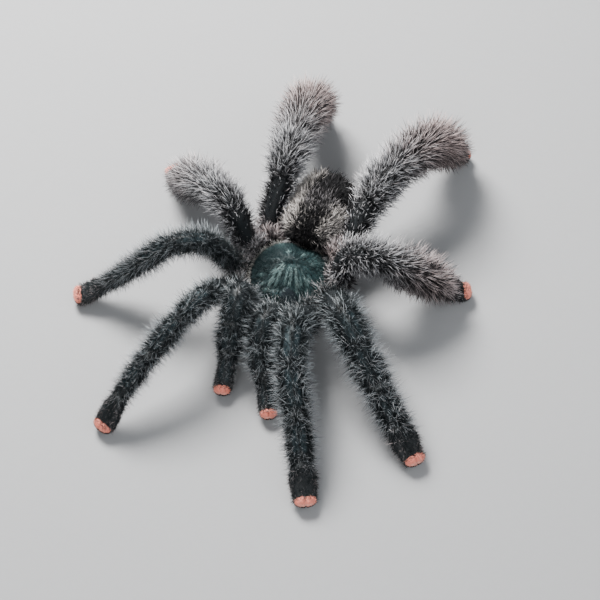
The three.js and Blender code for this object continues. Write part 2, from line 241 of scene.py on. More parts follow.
def makeHairTone():
    # The colour of a hair: dark at its root and pale towards its tip. The coat attribute holds how pale the
    # hair gets, how warm it is, and how far along it a point is.
    group = bpy.data.node_groups.new("hairTone", "ShaderNodeTree")
    for name in ("Root", "Grey tip", "Warm tip"):
        group.interface.new_socket(name, in_out="INPUT", socket_type="NodeSocketColor")
    group.interface.new_socket("Dark share", in_out="INPUT", socket_type="NodeSocketFloat")
    group.interface.new_socket("Color", in_out="OUTPUT", socket_type="NodeSocketColor")
    inputs = group.nodes.new("NodeGroupInput")
    outputs = group.nodes.new("NodeGroupOutput")
    coat = addNode(group, "ShaderNodeAttribute", n_attribute_name="coat")
    parts = addNode(group, "ShaderNodeSeparateColor", Color=coat.outputs["Color"])
    rise = addNode(group, "ShaderNodeMapRange", Value=parts.outputs["Blue"],
                   n_interpolation_type="SMOOTHSTEP")
    group.links.new(inputs.outputs["Dark share"], rise.inputs["From Min"])
    pale = addNode(group, "ShaderNodeMath", n_operation="MULTIPLY", i_0=rise.outputs[0],
                   i_1=parts.outputs["Red"])
    tip = mixColor(group, parts.outputs["Green"], inputs.outputs["Grey tip"], inputs.outputs["Warm tip"])
    color = mixColor(group, pale.outputs[0], inputs.outputs["Root"], tip)
    group.links.new(color, outputs.inputs["Color"])
    return group


def makeSpeckle():
    # Fine uneven spots over a surface, from 0 to 1: the mean of two noises of different size.
    group = bpy.data.node_groups.new("speckle", "ShaderNodeTree")
    group.interface.new_socket("Scale", in_out="INPUT", socket_type="NodeSocketFloat")
    group.interface.new_socket("Value", in_out="OUTPUT", socket_type="NodeSocketFloat")
    inputs = group.nodes.new("NodeGroupInput")
    outputs = group.nodes.new("NodeGroupOutput")
    place = group.nodes.new("ShaderNodeTexCoord").outputs["Object"]
    coarse = addNode(group, "ShaderNodeTexNoise", Vector=place, Detail=2.0)
    group.links.new(inputs.outputs["Scale"], coarse.inputs["Scale"])
    finer = addNode(group, "ShaderNodeMath", n_operation="MULTIPLY", i_0=inputs.outputs["Scale"], i_1=3.3)
    fine = addNode(group, "ShaderNodeTexNoise", Vector=place, Scale=finer.outputs[0], Detail=3.0)
    mixed = addNode(group, "ShaderNodeMath", n_operation="ADD", i_0=coarse.outputs[0], i_1=fine.outputs[0])
    half = addNode(group, "ShaderNodeMath", n_operation="MULTIPLY", i_0=mixed.outputs[0], i_1=0.5)
    group.links.new(half.outputs[0], outputs.inputs["Value"])
    return group


hairTone = makeHairTone()
speckle = makeSpeckle()


def addSpeckle(tree, scale):  # the speckle's value at this scale
    node = tree.nodes.new("ShaderNodeGroup")
    node.node_tree = speckle
    node.inputs["Scale"].default_value = scale
    return node.outputs["Value"]


def makeSkin(name, dark, light, scale, relief=None, **values):
    # A skin between two colours in fine spots. The same spots give its relief, a strength and a height.
    material, tree, shader = newMaterial(name, **values)
    spots = addSpeckle(tree, scale)
    tree.links.new(mixColor(tree, spots, dark, light), shader.inputs["Base Color"])
    if relief:
        addBump(tree, shader, spots, *relief)
    return material


def makeHair(name, root, grey, warm, darkShare, roughness):
    # Hair that stays its root's colour for a share of its length, then turns to its grey or its warm tip.
    material, tree, shader = newMaterial(name, Roughness=roughness, Specular_IOR_Level=0.3)
    tone = tree.nodes.new("ShaderNodeGroup")
    tone.node_tree = hairTone
    tone.inputs["Root"].default_value = (*root, 1)
    tone.inputs["Grey tip"].default_value = (*grey, 1)
    tone.inputs["Warm tip"].default_value = (*warm, 1)
    tone.inputs["Dark share"].default_value = darkShare
    tree.links.new(tone.outputs["Color"], shader.inputs["Base Color"])
    return material


tuft = 2  # hairs that stand together
hairForm = {
    "bend": 0.6, "waist": 0.84,  # a hair of two parts: how far along it bends, and how wide it is there
    "sink": 0.08, "ground": 0.04,  # how deep a root sits under the skin, and the lowest a hair comes, in mm
}


def hairSpikes(roots, first, second, lengths, widths, twoPart):
    # Each hair is a three-sided spike from its root along first. One of two parts has a waist and ends along
    # second, so it bends. Returned with the points are each one's share of the length and its hair.
    n = len(roots)
    across = unit(np.cross(first, random.normal(size=(n, 3))))
    beside = np.cross(first, across)
    turns = np.arange(3) * 2 * math.pi / 3
    ring = across[:, None] * np.cos(turns)[:, None] + beside[:, None] * np.sin(turns)[:, None]
    base = roots[:, None] + ring * widths[:, None, None] / 2
    if twoPart:
        bendAt = hairForm["bend"]
        bend = roots + first * lengths[:, None] * bendAt
        tip = bend + second * lengths[:, None] * (1 - bendAt)
        waist = bend[:, None] + ring * widths[:, None, None] * hairForm["waist"] / 2
        points = np.concatenate([base, waist, tip[:, None]], axis=1)
        pattern = [[0, 2, 1], [0, 1, 4], [0, 4, 3], [1, 2, 5], [1, 5, 4], [2, 0, 3], [2, 3, 5],
                   [3, 4, 6], [4, 5, 6], [5, 3, 6]]
        share = np.array([0, 0, 0, bendAt, bendAt, bendAt, 1])
    else:
        tip = roots + first * lengths[:, None]
        points = np.concatenate([base, tip[:, None]], axis=1)
        pattern = [[0, 2, 1], [0, 1, 3], [1, 2, 3], [2, 0, 3]]
        share = np.array([0, 0, 0, 1])
    size = points.shape[1]
    faces = (np.arange(n)[:, None, None] * size + np.array(pattern)).reshape(-1, 3)
    return points.reshape(-1, 3), faces, np.tile(share, n), np.repeat(np.arange(n), size)


def growHair(roots, normals, flows, lengths, widths, lift, pale, warm, droop=0.25, jitter=0.2, twoPart=True):
    # A hair leaves the skin between its flow and its normal, lift of the way to the normal, and its second
    # part leans back to the flow by droop. The hairs of a tuft share most of their stray direction. Roots
    # sit just under the skin, and no hair goes below the ground.
    n = len(roots)
    shared = inTufts(random.normal(size=(n // tuft + 1, 3)), n)
    spread = shared * jitter + random.normal(size=(n, 3)) * jitter * 0.7
    lift = np.broadcast_to(lift, (n,))[:, None]
    first = unit(normals * lift + flows * (1 - lift) + spread)
    second = unit(first * (1 - droop) + flows * droop + random.normal(size=(n, 3)) * jitter * 0.4)
    roots = roots - normals * hairForm["sink"]
    points, faces, share, owner = hairSpikes(roots, first, second, lengths, widths, twoPart)
    points[:, 2] = np.maximum(points[:, 2], hairForm["ground"])
    return points, faces, np.stack([pale[owner], warm[owner], share], -1)


def joinCoats(coats):  # several batches of hair as one set of arrays
    points, faces, values, start = [], [], [], 0
    for coatPoints, coatFaces, coatValues in coats:
        points.append(coatPoints)
        faces.append(coatFaces + start)
        values.append(coatValues)
        start += len(coatPoints)
    return np.concatenate(points), np.concatenate(faces), np.concatenate(values)


def inTufts(values, count):  # one value for each tuft, repeated for its hairs
    return np.repeat(values, tuft, axis=0)[:count]


def tuftDraw(count):  # a random number from 0 to 1 for each tuft, given to its hairs
    return inTufts(random.random(count // tuft + 1), count)


def vary(low, spread, count):  # a random number for each hair, from low to low + spread
    return low + spread * random.random(count)


def pickTufts(weights, count):  # a spot's index for each hair, drawn by weight and shared by its tuft
    chance = np.cumsum(weights / weights.sum())
    return np.searchsorted(chance, tuftDraw(count)).clip(0, len(weights) - 1)


def limbJoints(name):
    # Joint points from the base's inner end to the tip: each segment is a step along its heading and pitch,
    # and the base's outer end stands as high as brings the tip down to its own height.
    kind, side = name.rsplit("_", 1)
    side = -1 if side == "right" else 1
    heading, turn, pitch = plan["poses"][name]
    lengths = np.array(plan["lengths"][kind])
    pitch = np.radians(pitch)
    out, forward = plan["baseEnds"][kind]
    end = np.array([side * out, forward, plan["tipHeight"] - (lengths * np.sin(pitch)).sum()])
    start = end * (plan["baseStart"], plan["baseStart"], 1) - (0, 0, plan["baseDip"])
    swing = np.radians(heading + turn * np.minimum(np.arange(len(pitch)) / 2, 1))
    steps = np.stack([side * np.sin(swing) * np.cos(pitch), -np.cos(swing) * np.cos(pitch),
                      np.sin(pitch)], -1)
    return np.concatenate([[start, end], end + np.cumsum(steps * lengths[:, None], axis=0)]) + origin


def splinePoint(joints, where):
    # A centripetal Catmull-Rom line through the joints, with tangents from the square roots of the chords.
    # Past its last joint it goes straight on.
    padded = np.concatenate([[2 * joints[0] - joints[1]], joints, [2 * joints[-1] - joints[-2]]])
    last = len(joints) - 1
    inside = np.clip(where, 0, last)
    i = np.minimum(inside.astype(int), last - 1)
    t = (inside - i)[..., None]
    p0, p1, p2, p3 = padded[i], padded[i + 1], padded[i + 2], padded[i + 3]
    chords = ((p0, p1), (p1, p2), (p2, p3))
    d0, d1, d2 = (np.sqrt(np.linalg.norm(b - a, axis=-1, keepdims=True)) for a, b in chords)
    m1 = ((p1 - p0) / d0 - (p2 - p0) / (d0 + d1) + (p2 - p1) / d1) * d1
    m2 = ((p2 - p1) / d1 - (p3 - p1) / (d1 + d2) + (p3 - p2) / d2) * d1
    point = (p1 * (2 * t ** 3 - 3 * t ** 2 + 1) + p2 * (3 * t ** 2 - 2 * t ** 3)
             + m1 * (t ** 3 - 2 * t ** 2 + t) + m2 * (t ** 3 - t ** 2))
    end = unit(joints[-1] - joints[-2])
    return point + np.maximum(where - last, 0)[..., None] * end * 10


def limbAxes(joints, where):  # a limb's middle, direction, across and up at places along its line
    last = len(joints) - 1
    middle = splinePoint(joints, where)
    ahead = np.minimum(where + 0.02, last)
    direction = unit(splinePoint(joints, ahead) - splinePoint(joints, ahead - 0.04))
    across = unit(np.cross((0, 0, 1.0), direction))
    return middle, direction, across, np.cross(direction, across)


limbSkin = {
    # Half width and half height of the skin at places along the limb, where each joint is a whole number
    "leg": [(0, 1.0, 1.3), (0.5, 1.6, 1.7), (0.95, 1.75, 1.8), (1.15, 1.6, 1.65), (1.5, 1.85, 2.0),
            (1.8, 1.95, 2.1), (1.97, 1.65, 1.75), (2.2, 1.85, 1.85), (2.5, 1.95, 1.9), (2.8, 1.85, 1.8),
            (2.98, 1.55, 1.5), (3.2, 1.75, 1.7), (3.5, 1.85, 1.75), (3.8, 1.7, 1.65), (3.98, 1.4, 1.35),
            (4.2, 1.6, 1.5), (4.5, 1.65, 1.45), (4.8, 1.6, 1.35), (4.97, 1.45, 1.2), (5.2, 1.95, 1.3),
            (5.5, 2.4, 1.3), (5.8, 2.4, 1.25), (6.0, 2.1, 1.0), (6.06, 1.6, 0.8)],
    "palp": [(0, 1.0, 1.2), (0.5, 1.4, 1.5), (0.95, 1.5, 1.6), (1.15, 1.35, 1.4), (1.5, 1.5, 1.6),
             (1.8, 1.55, 1.7), (1.97, 1.35, 1.4), (2.3, 1.5, 1.5), (2.7, 1.5, 1.45), (2.98, 1.25, 1.2),
             (3.3, 1.45, 1.4), (3.7, 1.45, 1.35), (3.97, 1.25, 1.15), (4.2, 1.6, 1.25), (4.5, 1.8, 1.2),
             (4.8, 1.85, 1.15), (5.0, 1.6, 0.9), (5.06, 1.2, 0.7)],
    "rows": 100, "columns": 32, "ripple": 0.05, "ground": 0.15,  # ripple and lowest height in mm
    # How full each skin is, how much its upper side is raised, and the place where both begin
    "full": {"palp_right": (1.7, 0.05, 0.8), "palp_left": (1.6, 0.05, 0.8),
             "leg_1_right": (0.95, 0.1, 0.8), "leg_1_left": (1.3, 0.1, 0.8),
             "leg_2_right": (0.95, 0.1, 0.8), "leg_2_left": (1.42, 0.15, 0.8),
             "leg_3_right": (1.15, 0.15, 0.9), "leg_3_left": (1.15, 0.15, 0.9),
             "leg_4_right": (1.25, 0.3, 1.85), "leg_4_left": (1.25, 0.3, 1.2)},
    # Two bare lines along the top of the patella, tibia and metatarsus: how far each is from the middle in
    # radians, where they run, and how bare they are on each kind of limb
    "stripeApart": 0.4, "stripeWidth": 0.3, "stripes": ((2.1, 2.9), (3.08, 3.9), (4.15, 4.8)),
    "groove": 0.05,  # how far the skin draws in along a bare line, as a share of its size
    "striped": {"palp": 0.5, "leg_1": 1, "leg_2": 0.8, "leg_3": 0.25, "leg_4": 0},
    "dark": (0.003, 0.004, 0.005), "light": (0.018, 0.023, 0.026), "bare": (0.02, 0.037, 0.044),
    "knob": (0.2, 0.21, 0.21),
}


def kindOf(name):  # a limb's name without its side
    return name.rsplit("_", 1)[0]


def bareStripes(name, where, turn):  # from 0 in the coat to 1 on a bare line: a flat-topped bell across each
    across = turn - math.pi / 2
    apart, width = limbSkin["stripeApart"], limbSkin["stripeWidth"]
    lines = sum(np.exp(-((across - side * apart) / width) ** 4) for side in (-1, 1))
    runs = sum(smooth(low, low + 0.1, where) * (1 - smooth(high - 0.1, high, where))
               for low, high in limbSkin["stripes"])
    return np.clip(lines, 0, 1) * runs * limbSkin["striped"][kindOf(name)]


def limbSurface(name, where, turn):
    # Point, outward normal and direction on a limb's skin: ellipses across its line, fuller between its base
    # and its tarsus, with a shallow groove along each bare line.
    kind = kindOf(name)
    joints = limbJoints(name)
    last = len(joints) - 1
    stations = limbSkin["palp" if kind == "palp" else "leg"]
    share, raised, begin = limbSkin["full"][name]
    middle, direction, across, up = limbAxes(joints, where)
    cos, sin = np.cos(turn)[..., None], np.sin(turn)[..., None]
    fade = (last - 1.2, last - 0.7) if kind == "palp" else (last - 0.9, last - 0.2)
    past = (smooth(begin, begin + 0.4, where) * (1 - smooth(*fade, where)))[..., None]
    full = 1 + (share - 1) * past
    width = along(stations, 1, where)[..., None] * full
    height = along(stations, 2, where)[..., None] * full * (1 + raised * past * smooth(-0.2, 1, sin))
    groove = (1 - limbSkin["groove"] * bareStripes(name, where, turn))[..., None]
    point = middle + (across * cos * width + up * sin * height) * groove
    return point, unit(across * cos / width + up * sin / height), direction


def limbSkinMesh(name):
    # Rings of a limb's skin from base to tip, moved along their normals by the product of two waves. The
    # values mark its bare lines and the pale knobs at the last two joints before its tip.
    last = len(plan["lengths"][kindOf(name)]) + 1
    where, turn = tubeGrid(np.linspace(0, last + 0.05, limbSkin["rows"]), limbSkin["columns"])
    point, normal = limbSurface(name, where, turn)[:2]
    ripple = np.sin(where * 31 + 3 * np.cos(turn)) * np.sin(turn * 5 + where * 7) * limbSkin["ripple"]
    point = point + normal * ripple[..., None]
    point[..., 2] = np.maximum(point[..., 2], limbSkin["ground"])
    knob = bump(where - (last - 2), 0.06) + 0.5 * bump(where - (last - 1), 0.05)
    knob = knob * smooth(0.3, 0.8, np.sin(turn))
    values = np.stack([bareStripes(name, where, turn), knob, np.zeros_like(knob)], -1).reshape(-1, 3)
    values = np.concatenate([values, values[:1], values[-1:]])
    return closeTube(point), tubeFaces(*where.shape), values


limbHair = {
    # The coat at stations: place, long hairs by weight, their length in mm, share of the hairs that are
    # pale, and how warm the pale ones are
    "palp": [(0.6, 0.6, 0.9, 0.6, 0.5), (0.85, 0.8, 1.1, 0.6, 0.4), (1.1, 1.2, 1.7, 0.7, 0.3),
             (1.4, 1.0, 1.9, 0.55, 0.1), (2, 1.2, 2.0, 0.6, 0.05), (3, 1.2, 2.1, 0.5, 0.05),
             (3.6, 1.0, 1.9, 0.4, 0.1), (4, 0.7, 1.5, 0.35, 0.15), (4.4, 0.6, 1.0, 0.5, 0.2),
             (4.8, 0.6, 0.8, 0.6, 0.4), (4.92, 0.7, 0.9, 0.7, 0.6), (5.05, 0.8, 0.9, 0.75, 0.6)],
    "front": [(0.6, 0.6, 1.2, 0.7, 0.6), (0.85, 0.9, 1.6, 0.7, 0.5), (1.05, 1.4, 2.1, 0.7, 0.4),
              (1.3, 1.0, 2.1, 0.4, 0.1), (1.9, 1.0, 2.1, 0.45, 0), (2.1, 1.2, 2.2, 0.6, 0),
              (3, 1.1, 2.2, 0.5, 0.05), (3.5, 1.1, 2.4, 0.38, 0.1), (4, 1.1, 2.4, 0.32, 0.1),
              (4.6, 0.9, 2.1, 0.23, 0.15), (5, 0.8, 1.8, 0.24, 0.2), (5.3, 0.4, 1.2, 0.5, 0.6),
              (5.7, 0.3, 0.9, 0.55, 0.7), (5.9, 0.7, 0.9, 0.7, 0.6), (6.05, 0.8, 0.9, 0.75, 0.7)],
    "rear": [(0.6, 1.0, 2.2, 0.9, 0.7), (1.0, 1.6, 2.6, 0.9, 0.6), (1.2, 1.1, 2.3, 0.5, 0.4),
             (1.4, 0.8, 2.2, 0.1, 0.1), (1.8, 0.8, 2.3, 0.1, 0), (2.0, 1.2, 2.6, 0.6, 0),
             (2.2, 1.4, 2.8, 0.9, 0), (2.8, 1.4, 3.0, 0.8, 0), (3.2, 1.4, 3.3, 0.55, 0.2),
             (3.5, 1.5, 3.6, 0.48, 0.5), (4, 1.8, 3.9, 0.42, 0.85), (4.6, 1.9, 3.8, 0.42, 0.95),
             (4.9, 1.6, 3.1, 0.45, 0.9), (5.2, 1.1, 2.3, 0.5, 0.7), (5.45, 0.6, 1.4, 0.4, 0.5),
             (5.8, 0.2, 0.6, 0.5, 0.5), (6.05, 0.4, 0.5, 0.7, 0.6)],
    # How many hairs each limb has: long ones, fur and under-fur. Their roots are drawn from this many spots.
    "spots": 60000,
    "counts": {"palp": (2600, 5500, 1000), "leg_1": (4200, 8500, 1200), "leg_2": (3700, 8000, 1200),
               "leg_3": (3900, 10500, 800), "leg_4": (6200, 12500, 800)},
    # Each layer's length as a share of the table's, width, lift, how pale its pale hairs get, and stray
    "frontLayers": ((1.25, 0.115, 0.8, 0.92, 0.28), (0.66, 0.11, 0.48, 0.5, 0.32),
                    (0.35, 0.1, 0.4, 0.12, 0.25)),
    "rearLayers": ((1.0, 0.145, 0.76, 1.0, 0.26), (0.62, 0.12, 0.62, 0.55, 0.34),
                   (0.35, 0.11, 0.45, 0.25, 0.3)),
    "longer": {"palp_right": 1, "palp_left": 1.05, "leg_1_right": 1.05, "leg_1_left": 1.1,
               "leg_2_right": 1.1, "leg_2_left": 1.25, "leg_3_right": 1.15, "leg_3_left": 1.15,
               "leg_4_right": 1.25, "leg_4_left": 1.25},
    "topLonger": 0.2,  # how much longer the hairs on top are
    "longPale": 0.9,  # share of the long hairs that are pale
    "dull": 0.03,  # how pale the others are
    "frontRoot": (0.005, 0.01, 0.012), "rearRoot": (0.009, 0.009, 0.011),
    "frontTip": (0.68, 0.76, 0.81), "rearTip": (0.74, 0.75, 0.78), "warmTip": (0.9, 0.7, 0.67),
    "frontDark": 0.2, "rearDark": 0.1,  # share of a hair's length that stays as dark as its root
    # Share left of the pale hairs at a base, 1 where not named
    "basePale": {"palp_right": 0.7, "palp_left": 0.45, "leg_1_right": 0.8, "leg_1_left": 0.35,
                 "leg_2_left": 0.4, "leg_3_left": 0.5},
    "warmth": {"leg_3_right": 0.35, "leg_3_left": 0.75},  # of the pale hairs, as a share of the table's
    # How pale the pale hairs get, 1 where not named; the lower values for leg_3_right and leg_4_right are
    # painted shade
    "palenessAndShade": {"leg_2_right": 0.85, "leg_2_left": 1.25, "leg_3_right": 0.9, "leg_4_right": 0.85},
    "velvet": {"leg_4_left": 0.6},  # how far the short black coat shows on a femur's top, 1 where not named
}


def forwardSide(name, turn):  # from 0 to 1 on the side of a limb that looks forwards
    toward = 0 if name.endswith("right") else math.pi
    return smooth(0.35, 0.9, np.cos(turn - toward))


def velvet(name, where, turn):  # 1 on top of the femur, where the coat is short and black, and 0 elsewhere
    top = (1 - smooth(0.6, 0.88, np.abs(np.cos(turn)))) * smooth(-0.4, 0, np.sin(turn))
    return onFemur(where) * top * limbHair["velvet"].get(name, 1)


def onFemur(where):  # 1 along the femur and 0 elsewhere
    return smooth(1.15, 1.35, where) * (1 - smooth(1.84, 1.97, where))


def limbSpots(name, byTable, count):
    # Places along and round a limb, drawn by area, and by the coat's own weight where it has one.
    last = len(plan["lengths"][kindOf(name)]) + 1
    where = 0.6 + random.random(limbHair["spots"]) * (last - 0.57)
    turn = random.random(limbHair["spots"]) * 2 * math.pi
    lengths = np.array([6.0, *plan["lengths"][kindOf(name)]])
    weight = lengths[np.minimum(where.astype(int), last - 1)] * (1 - 0.6 * bareStripes(name, where, turn))
    if byTable is not None:
        weight = weight * along(byTable, 1, where) * (1 - 0.8 * velvet(name, where, turn))
    picked = pickTufts(weight, count)
    where = np.clip(where[picked] + random.normal(size=count) * 0.05, 0.6, last + 0.03)
    return where, turn[picked] + random.normal(size=count) * 0.15


def limbCoat(name):
    # Three layers of hair: sparse long hairs, the fur that gives the limb its tone, and under-fur. The table
    # says how many are pale, and fewer are on the velvet, at some bases and on top of a leg's tarsus. More
    # of the long hairs are pale, though less so past a rear leg's patella and before a front leg's tibia.
    # The pale hairs are dimmer below, and along the forward side of the rear legs.
    kind = kindOf(name)
    rear = kind in ("leg_3", "leg_4")
    last = len(plan["lengths"][kind]) + 1
    table = limbHair["palp" if kind == "palp" else "rear" if rear else "front"]
    coats = []
    for layer, count in enumerate(limbHair["counts"][kind]):
        share, width, lift, level, stray = limbHair["rearLayers" if rear else "frontLayers"][layer]
        where, turn = limbSpots(name, table if layer == 0 else None, count)
        point, normal, direction = limbSurface(name, where, turn)
        top, black = np.sin(turn), velvet(name, where, turn)
        ahead = forwardSide(name, turn) * (1 - smooth(0.2, 0.7, top)) * smooth(2.3, 2.8, where)
        bright = level * (1 - 0.5 * smooth(0.1, -0.8, top)) * (1 - 0.5 * ahead * rear)
        # on leg_3_right and leg_4_right this dims the pale hairs as painted shade
        bright = bright * limbHair["palenessAndShade"].get(name, 1)
        sparse = 0.2 * smooth(3, 3.5, where) if rear else 0.4 * (1 - smooth(2.4, 3.2, where))
        longShare = (limbHair["longPale"] - sparse) * (1 - 0.7 * black) * (layer == 0)
        paleShare = np.maximum(along(table, 3, where) * (1 - 0.8 * black), longShare)
        if kind != "palp":
            tarsusTop = smooth(last - 0.95, last - 0.8, where) * smooth(0.72, 0.95, top)
            paleShare = paleShare * (1 - 0.75 * tarsusTop)
        atBase = 1 - smooth(1.1, 1.4, where)
        paleShare = paleShare * (1 - (1 - limbHair["basePale"].get(name, 1)) * atBase)
        isPale = tuftDraw(count) < paleShare
        dull = limbHair["dull"] * (1 - black) * (1 - 0.8 * smooth(last - 1.6, last - 0.9, where))
        pale = np.where(isPale, bright * vary(0.6, 0.4, count), dull)
        warm = along(table, 4, where) * limbHair["warmth"].get(name, 1) + random.normal(size=count) * 0.12
        length = along(table, 2, where) * limbHair["longer"][name] * share
        length = length * vary(0.65, 0.55, count)
        length = length * (1 + limbHair["topLonger"] * top) * (1 - 0.6 * black)
        if rear and layer:
            length = length * (1 - 0.4 * onFemur(where))
        widths = width * vary(0.8, 0.4, count)
        coats.append(growHair(point, normal, direction, length, widths, lift - 0.2 * black, pale,
                              np.clip(warm, 0, 1), droop=0.2, jitter=stray, twoPart=rear and layer == 0))
    return joinCoats(coats)


def makeLegSkin():  # near-black with fine spots, greyer on the bare lines and pale at the knobs
    material, tree, shader = newMaterial("legSkin", Roughness=0.5, Specular_IOR_Level=0.3)
    zone = addNode(tree, "ShaderNodeAttribute", n_attribute_name="zone")
    parts = addNode(tree, "ShaderNodeSeparateColor", Color=zone.outputs["Color"])
    spots = addSpeckle(tree, 900.0)
    dark = mixColor(tree, spots, limbSkin["dark"], limbSkin["light"])
    bare = mixColor(tree, parts.outputs["Red"], dark, limbSkin["bare"])
    color = mixColor(tree, parts.outputs["Green"], bare, limbSkin["knob"])
    tree.links.new(color, shader.inputs["Base Color"])
    addBump(tree, shader, spots, 0.5, 0.12)
    return material


def addLimbs():
    skin = makeLegSkin()
    coats = {}
    for end in ("front", "rear"):
        coats[end] = makeHair(f"{end}LegHair", limbHair[f"{end}Root"], limbHair[f"{end}Tip"],
                              limbHair["warmTip"], limbHair[f"{end}Dark"], 0.5)
    for name in plan["poses"]:
        points, faces, values = limbSkinMesh(name)
        addPiece(f"{name}_skin", points, faces, [skin], "leg_hair", [name], {"zone": values})
        points, faces, values = limbCoat(name)
        end = "rear" if name.startswith(("leg_3", "leg_4")) else "front"
        addPiece(f"{name}_coat", points, faces, [coats[end]], "leg_hair", [name], {"coat": values})
    print("limbs and their coats")


pad = {
    "width": 2.15, "height": 1.2, "length": 1.25,  # half sizes in mm
    "forward": -0.15, "rise": 0.5,  # how far its middle is from the limb's tip
    "cleft": 0.18, "cleftWidth": 0.07, "palpShare": 0.78, "rows": 40, "columns": 32,
    # How many hairs, their length and width, and the height that their roots start at
    "fuzz": (700, 0.5, 0.1, 2.1), "cuff": (220, 1.0, 0.13, 1.6),
    "soleTop": (1.9, 2.15),  # the heights between which the dark underside, black hair with painted shadow under the pad, turns to the pad's colour
    "sole": (0.02, 0.014, 0.013), "deep": (0.78, 0.19, 0.12),
    # edge and fuzzFront are painted highlights on the pad's front
    "pink": (1.0, 0.42, 0.33), "edge": (1.0, 0.74, 0.64),
    "fuzzRoot": (0.85, 0.26, 0.19), "fuzzTip": (1.0, 0.5, 0.41), "fuzzFront": (1.0, 0.8, 0.7),
    "cuffRoot": (0.007, 0.009, 0.008), "cuffTip": (0.09, 0.1, 0.075),
}


def padSurface(name, rise, turn):  # point, outward normal and the limb's direction on a toe pad
    # A flattened oval across the limb's tip, its poles at the two sides, with a fine groove round its
    # middle. Rise is the angle from one side to the other, and turn the angle round.
    joints = limbJoints(name)
    last = float(len(joints) - 1)
    middle, direction, across, up = (v[0] for v in limbAxes(joints, np.array([last])))
    narrow = pad["palpShare"] if name.startswith("palp") else 1
    side = -np.cos(rise)
    body = np.sin(rise) ** 0.9 * (1 - pad["cleft"] * bump(side, pad["cleftWidth"]))
    local = np.stack([side * pad["width"] * narrow, np.cos(turn) * body * pad["length"],
                      np.sin(turn) * body * pad["height"]], -1)
    basis = np.stack([across, direction, up])
    point = middle + direction * pad["forward"] + up * pad["rise"] + local @ basis
    normal = unit((local / np.array([pad["width"] * narrow, pad["length"], pad["height"]]) ** 2) @ basis)
    return point, normal, direction


def makePad():  # pink with deeper spots, paler to the front where the coat attribute says as a painted highlight, and dark below with black hair and painted shadow
    material, tree, shader = newMaterial("toePad", Roughness=0.75, Specular_IOR_Level=0.25)
    place = tree.nodes.new("ShaderNodeTexCoord").outputs["Object"]
    height = addNode(tree, "ShaderNodeSeparateXYZ", Vector=place).outputs["Z"]
    above = addNode(tree, "ShaderNodeMapRange", Value=height, n_interpolation_type="SMOOTHSTEP")
    above.inputs["From Min"].default_value = pad["soleTop"][0] * mm
    above.inputs["From Max"].default_value = pad["soleTop"][1] * mm
    spots = addSpeckle(tree, 2600.0)
    pink = mixColor(tree, spots, pad["deep"], pad["pink"])
    coat = addNode(tree, "ShaderNodeAttribute", n_attribute_name="coat")
    ahead = addNode(tree, "ShaderNodeSeparateColor", Color=coat.outputs["Color"]).outputs["Red"]
    # painted highlight: the skin turns to the edge colour towards the pad's front
    tone = mixColor(tree, ahead, pink, pad["edge"])
    # dark below those heights: black hair under the pad with painted shadow
    tree.links.new(mixColor(tree, above.outputs[0], pad["sole"], tone), shader.inputs["Base Color"])
    addBump(tree, shader, spots, 0.6, 0.08)
    return material


def addPads():
    # Each pad has short fuzz, paler towards its front as a painted highlight, and a cuff of dark hair over
    # its back edge.
    skin = makePad()
    fuzz = makeHair("padFuzz", pad["fuzzRoot"], pad["fuzzTip"], pad["fuzzFront"], 0.0, 0.7)
    cuff = makeHair("padCuff", pad["cuffRoot"], pad["cuffTip"], pad["cuffTip"], 0.0, 0.5)
    rise, turn = tubeGrid(np.linspace(0.06, math.pi - 0.06, pad["rows"]), pad["columns"])
    spots = pad["fuzz"][0] * 3
    for name in plan["poses"]:
        point, out, direction = padSurface(name, rise, turn)
        point[..., 2] = np.maximum(point[..., 2], 0.02)
        skinValues = np.zeros((rise.size + 2, 3))
        # painted highlight: how far the skin turns to the edge colour towards the front
        skinValues[:rise.size, 0] = 0.8 * smooth(0.2, 1, out @ direction).ravel()
        coats = [(closeTube(point), tubeFaces(*rise.shape)[:, ::-1], skinValues)]
        root, out, direction = padSurface(name, np.arccos(random.uniform(-0.95, 0.95, spots)),
                                          random.random(spots) * 2 * math.pi)
        facing = out @ direction
        for kind, inside, lift in (("fuzz", facing > -0.7, 0.6), ("cuff", facing < -0.35, 0.45)):
            count, length, width, height = pad[kind]
            chosen = np.flatnonzero((root[:, 2] > height) & inside)[:count]
            n = len(chosen)
            # painted highlight: the fuzz tips turn to fuzzFront towards the pad's front
            ahead = smooth(0, 0.9, facing[chosen])
            coats.append(growHair(root[chosen], out[chosen], np.broadcast_to(direction, (n, 3)),
                                  length * vary(0.6, 0.6, n), np.full(n, width), lift,
                                  vary(0.4, 0.6, n), ahead * vary(0.5, 0.5, n),
                                  jitter=0.4, twoPart=False))
        points, faces, values = joinCoats(coats)
        slots = np.repeat([0, 1, 2], [len(coat[1]) for coat in coats]).astype(np.int32)
        addPiece(f"{name}_pad", points, faces, [skin, fuzz, cuff], "toe_pad", [], {"coat": values}, slots)
    print("toe pads")


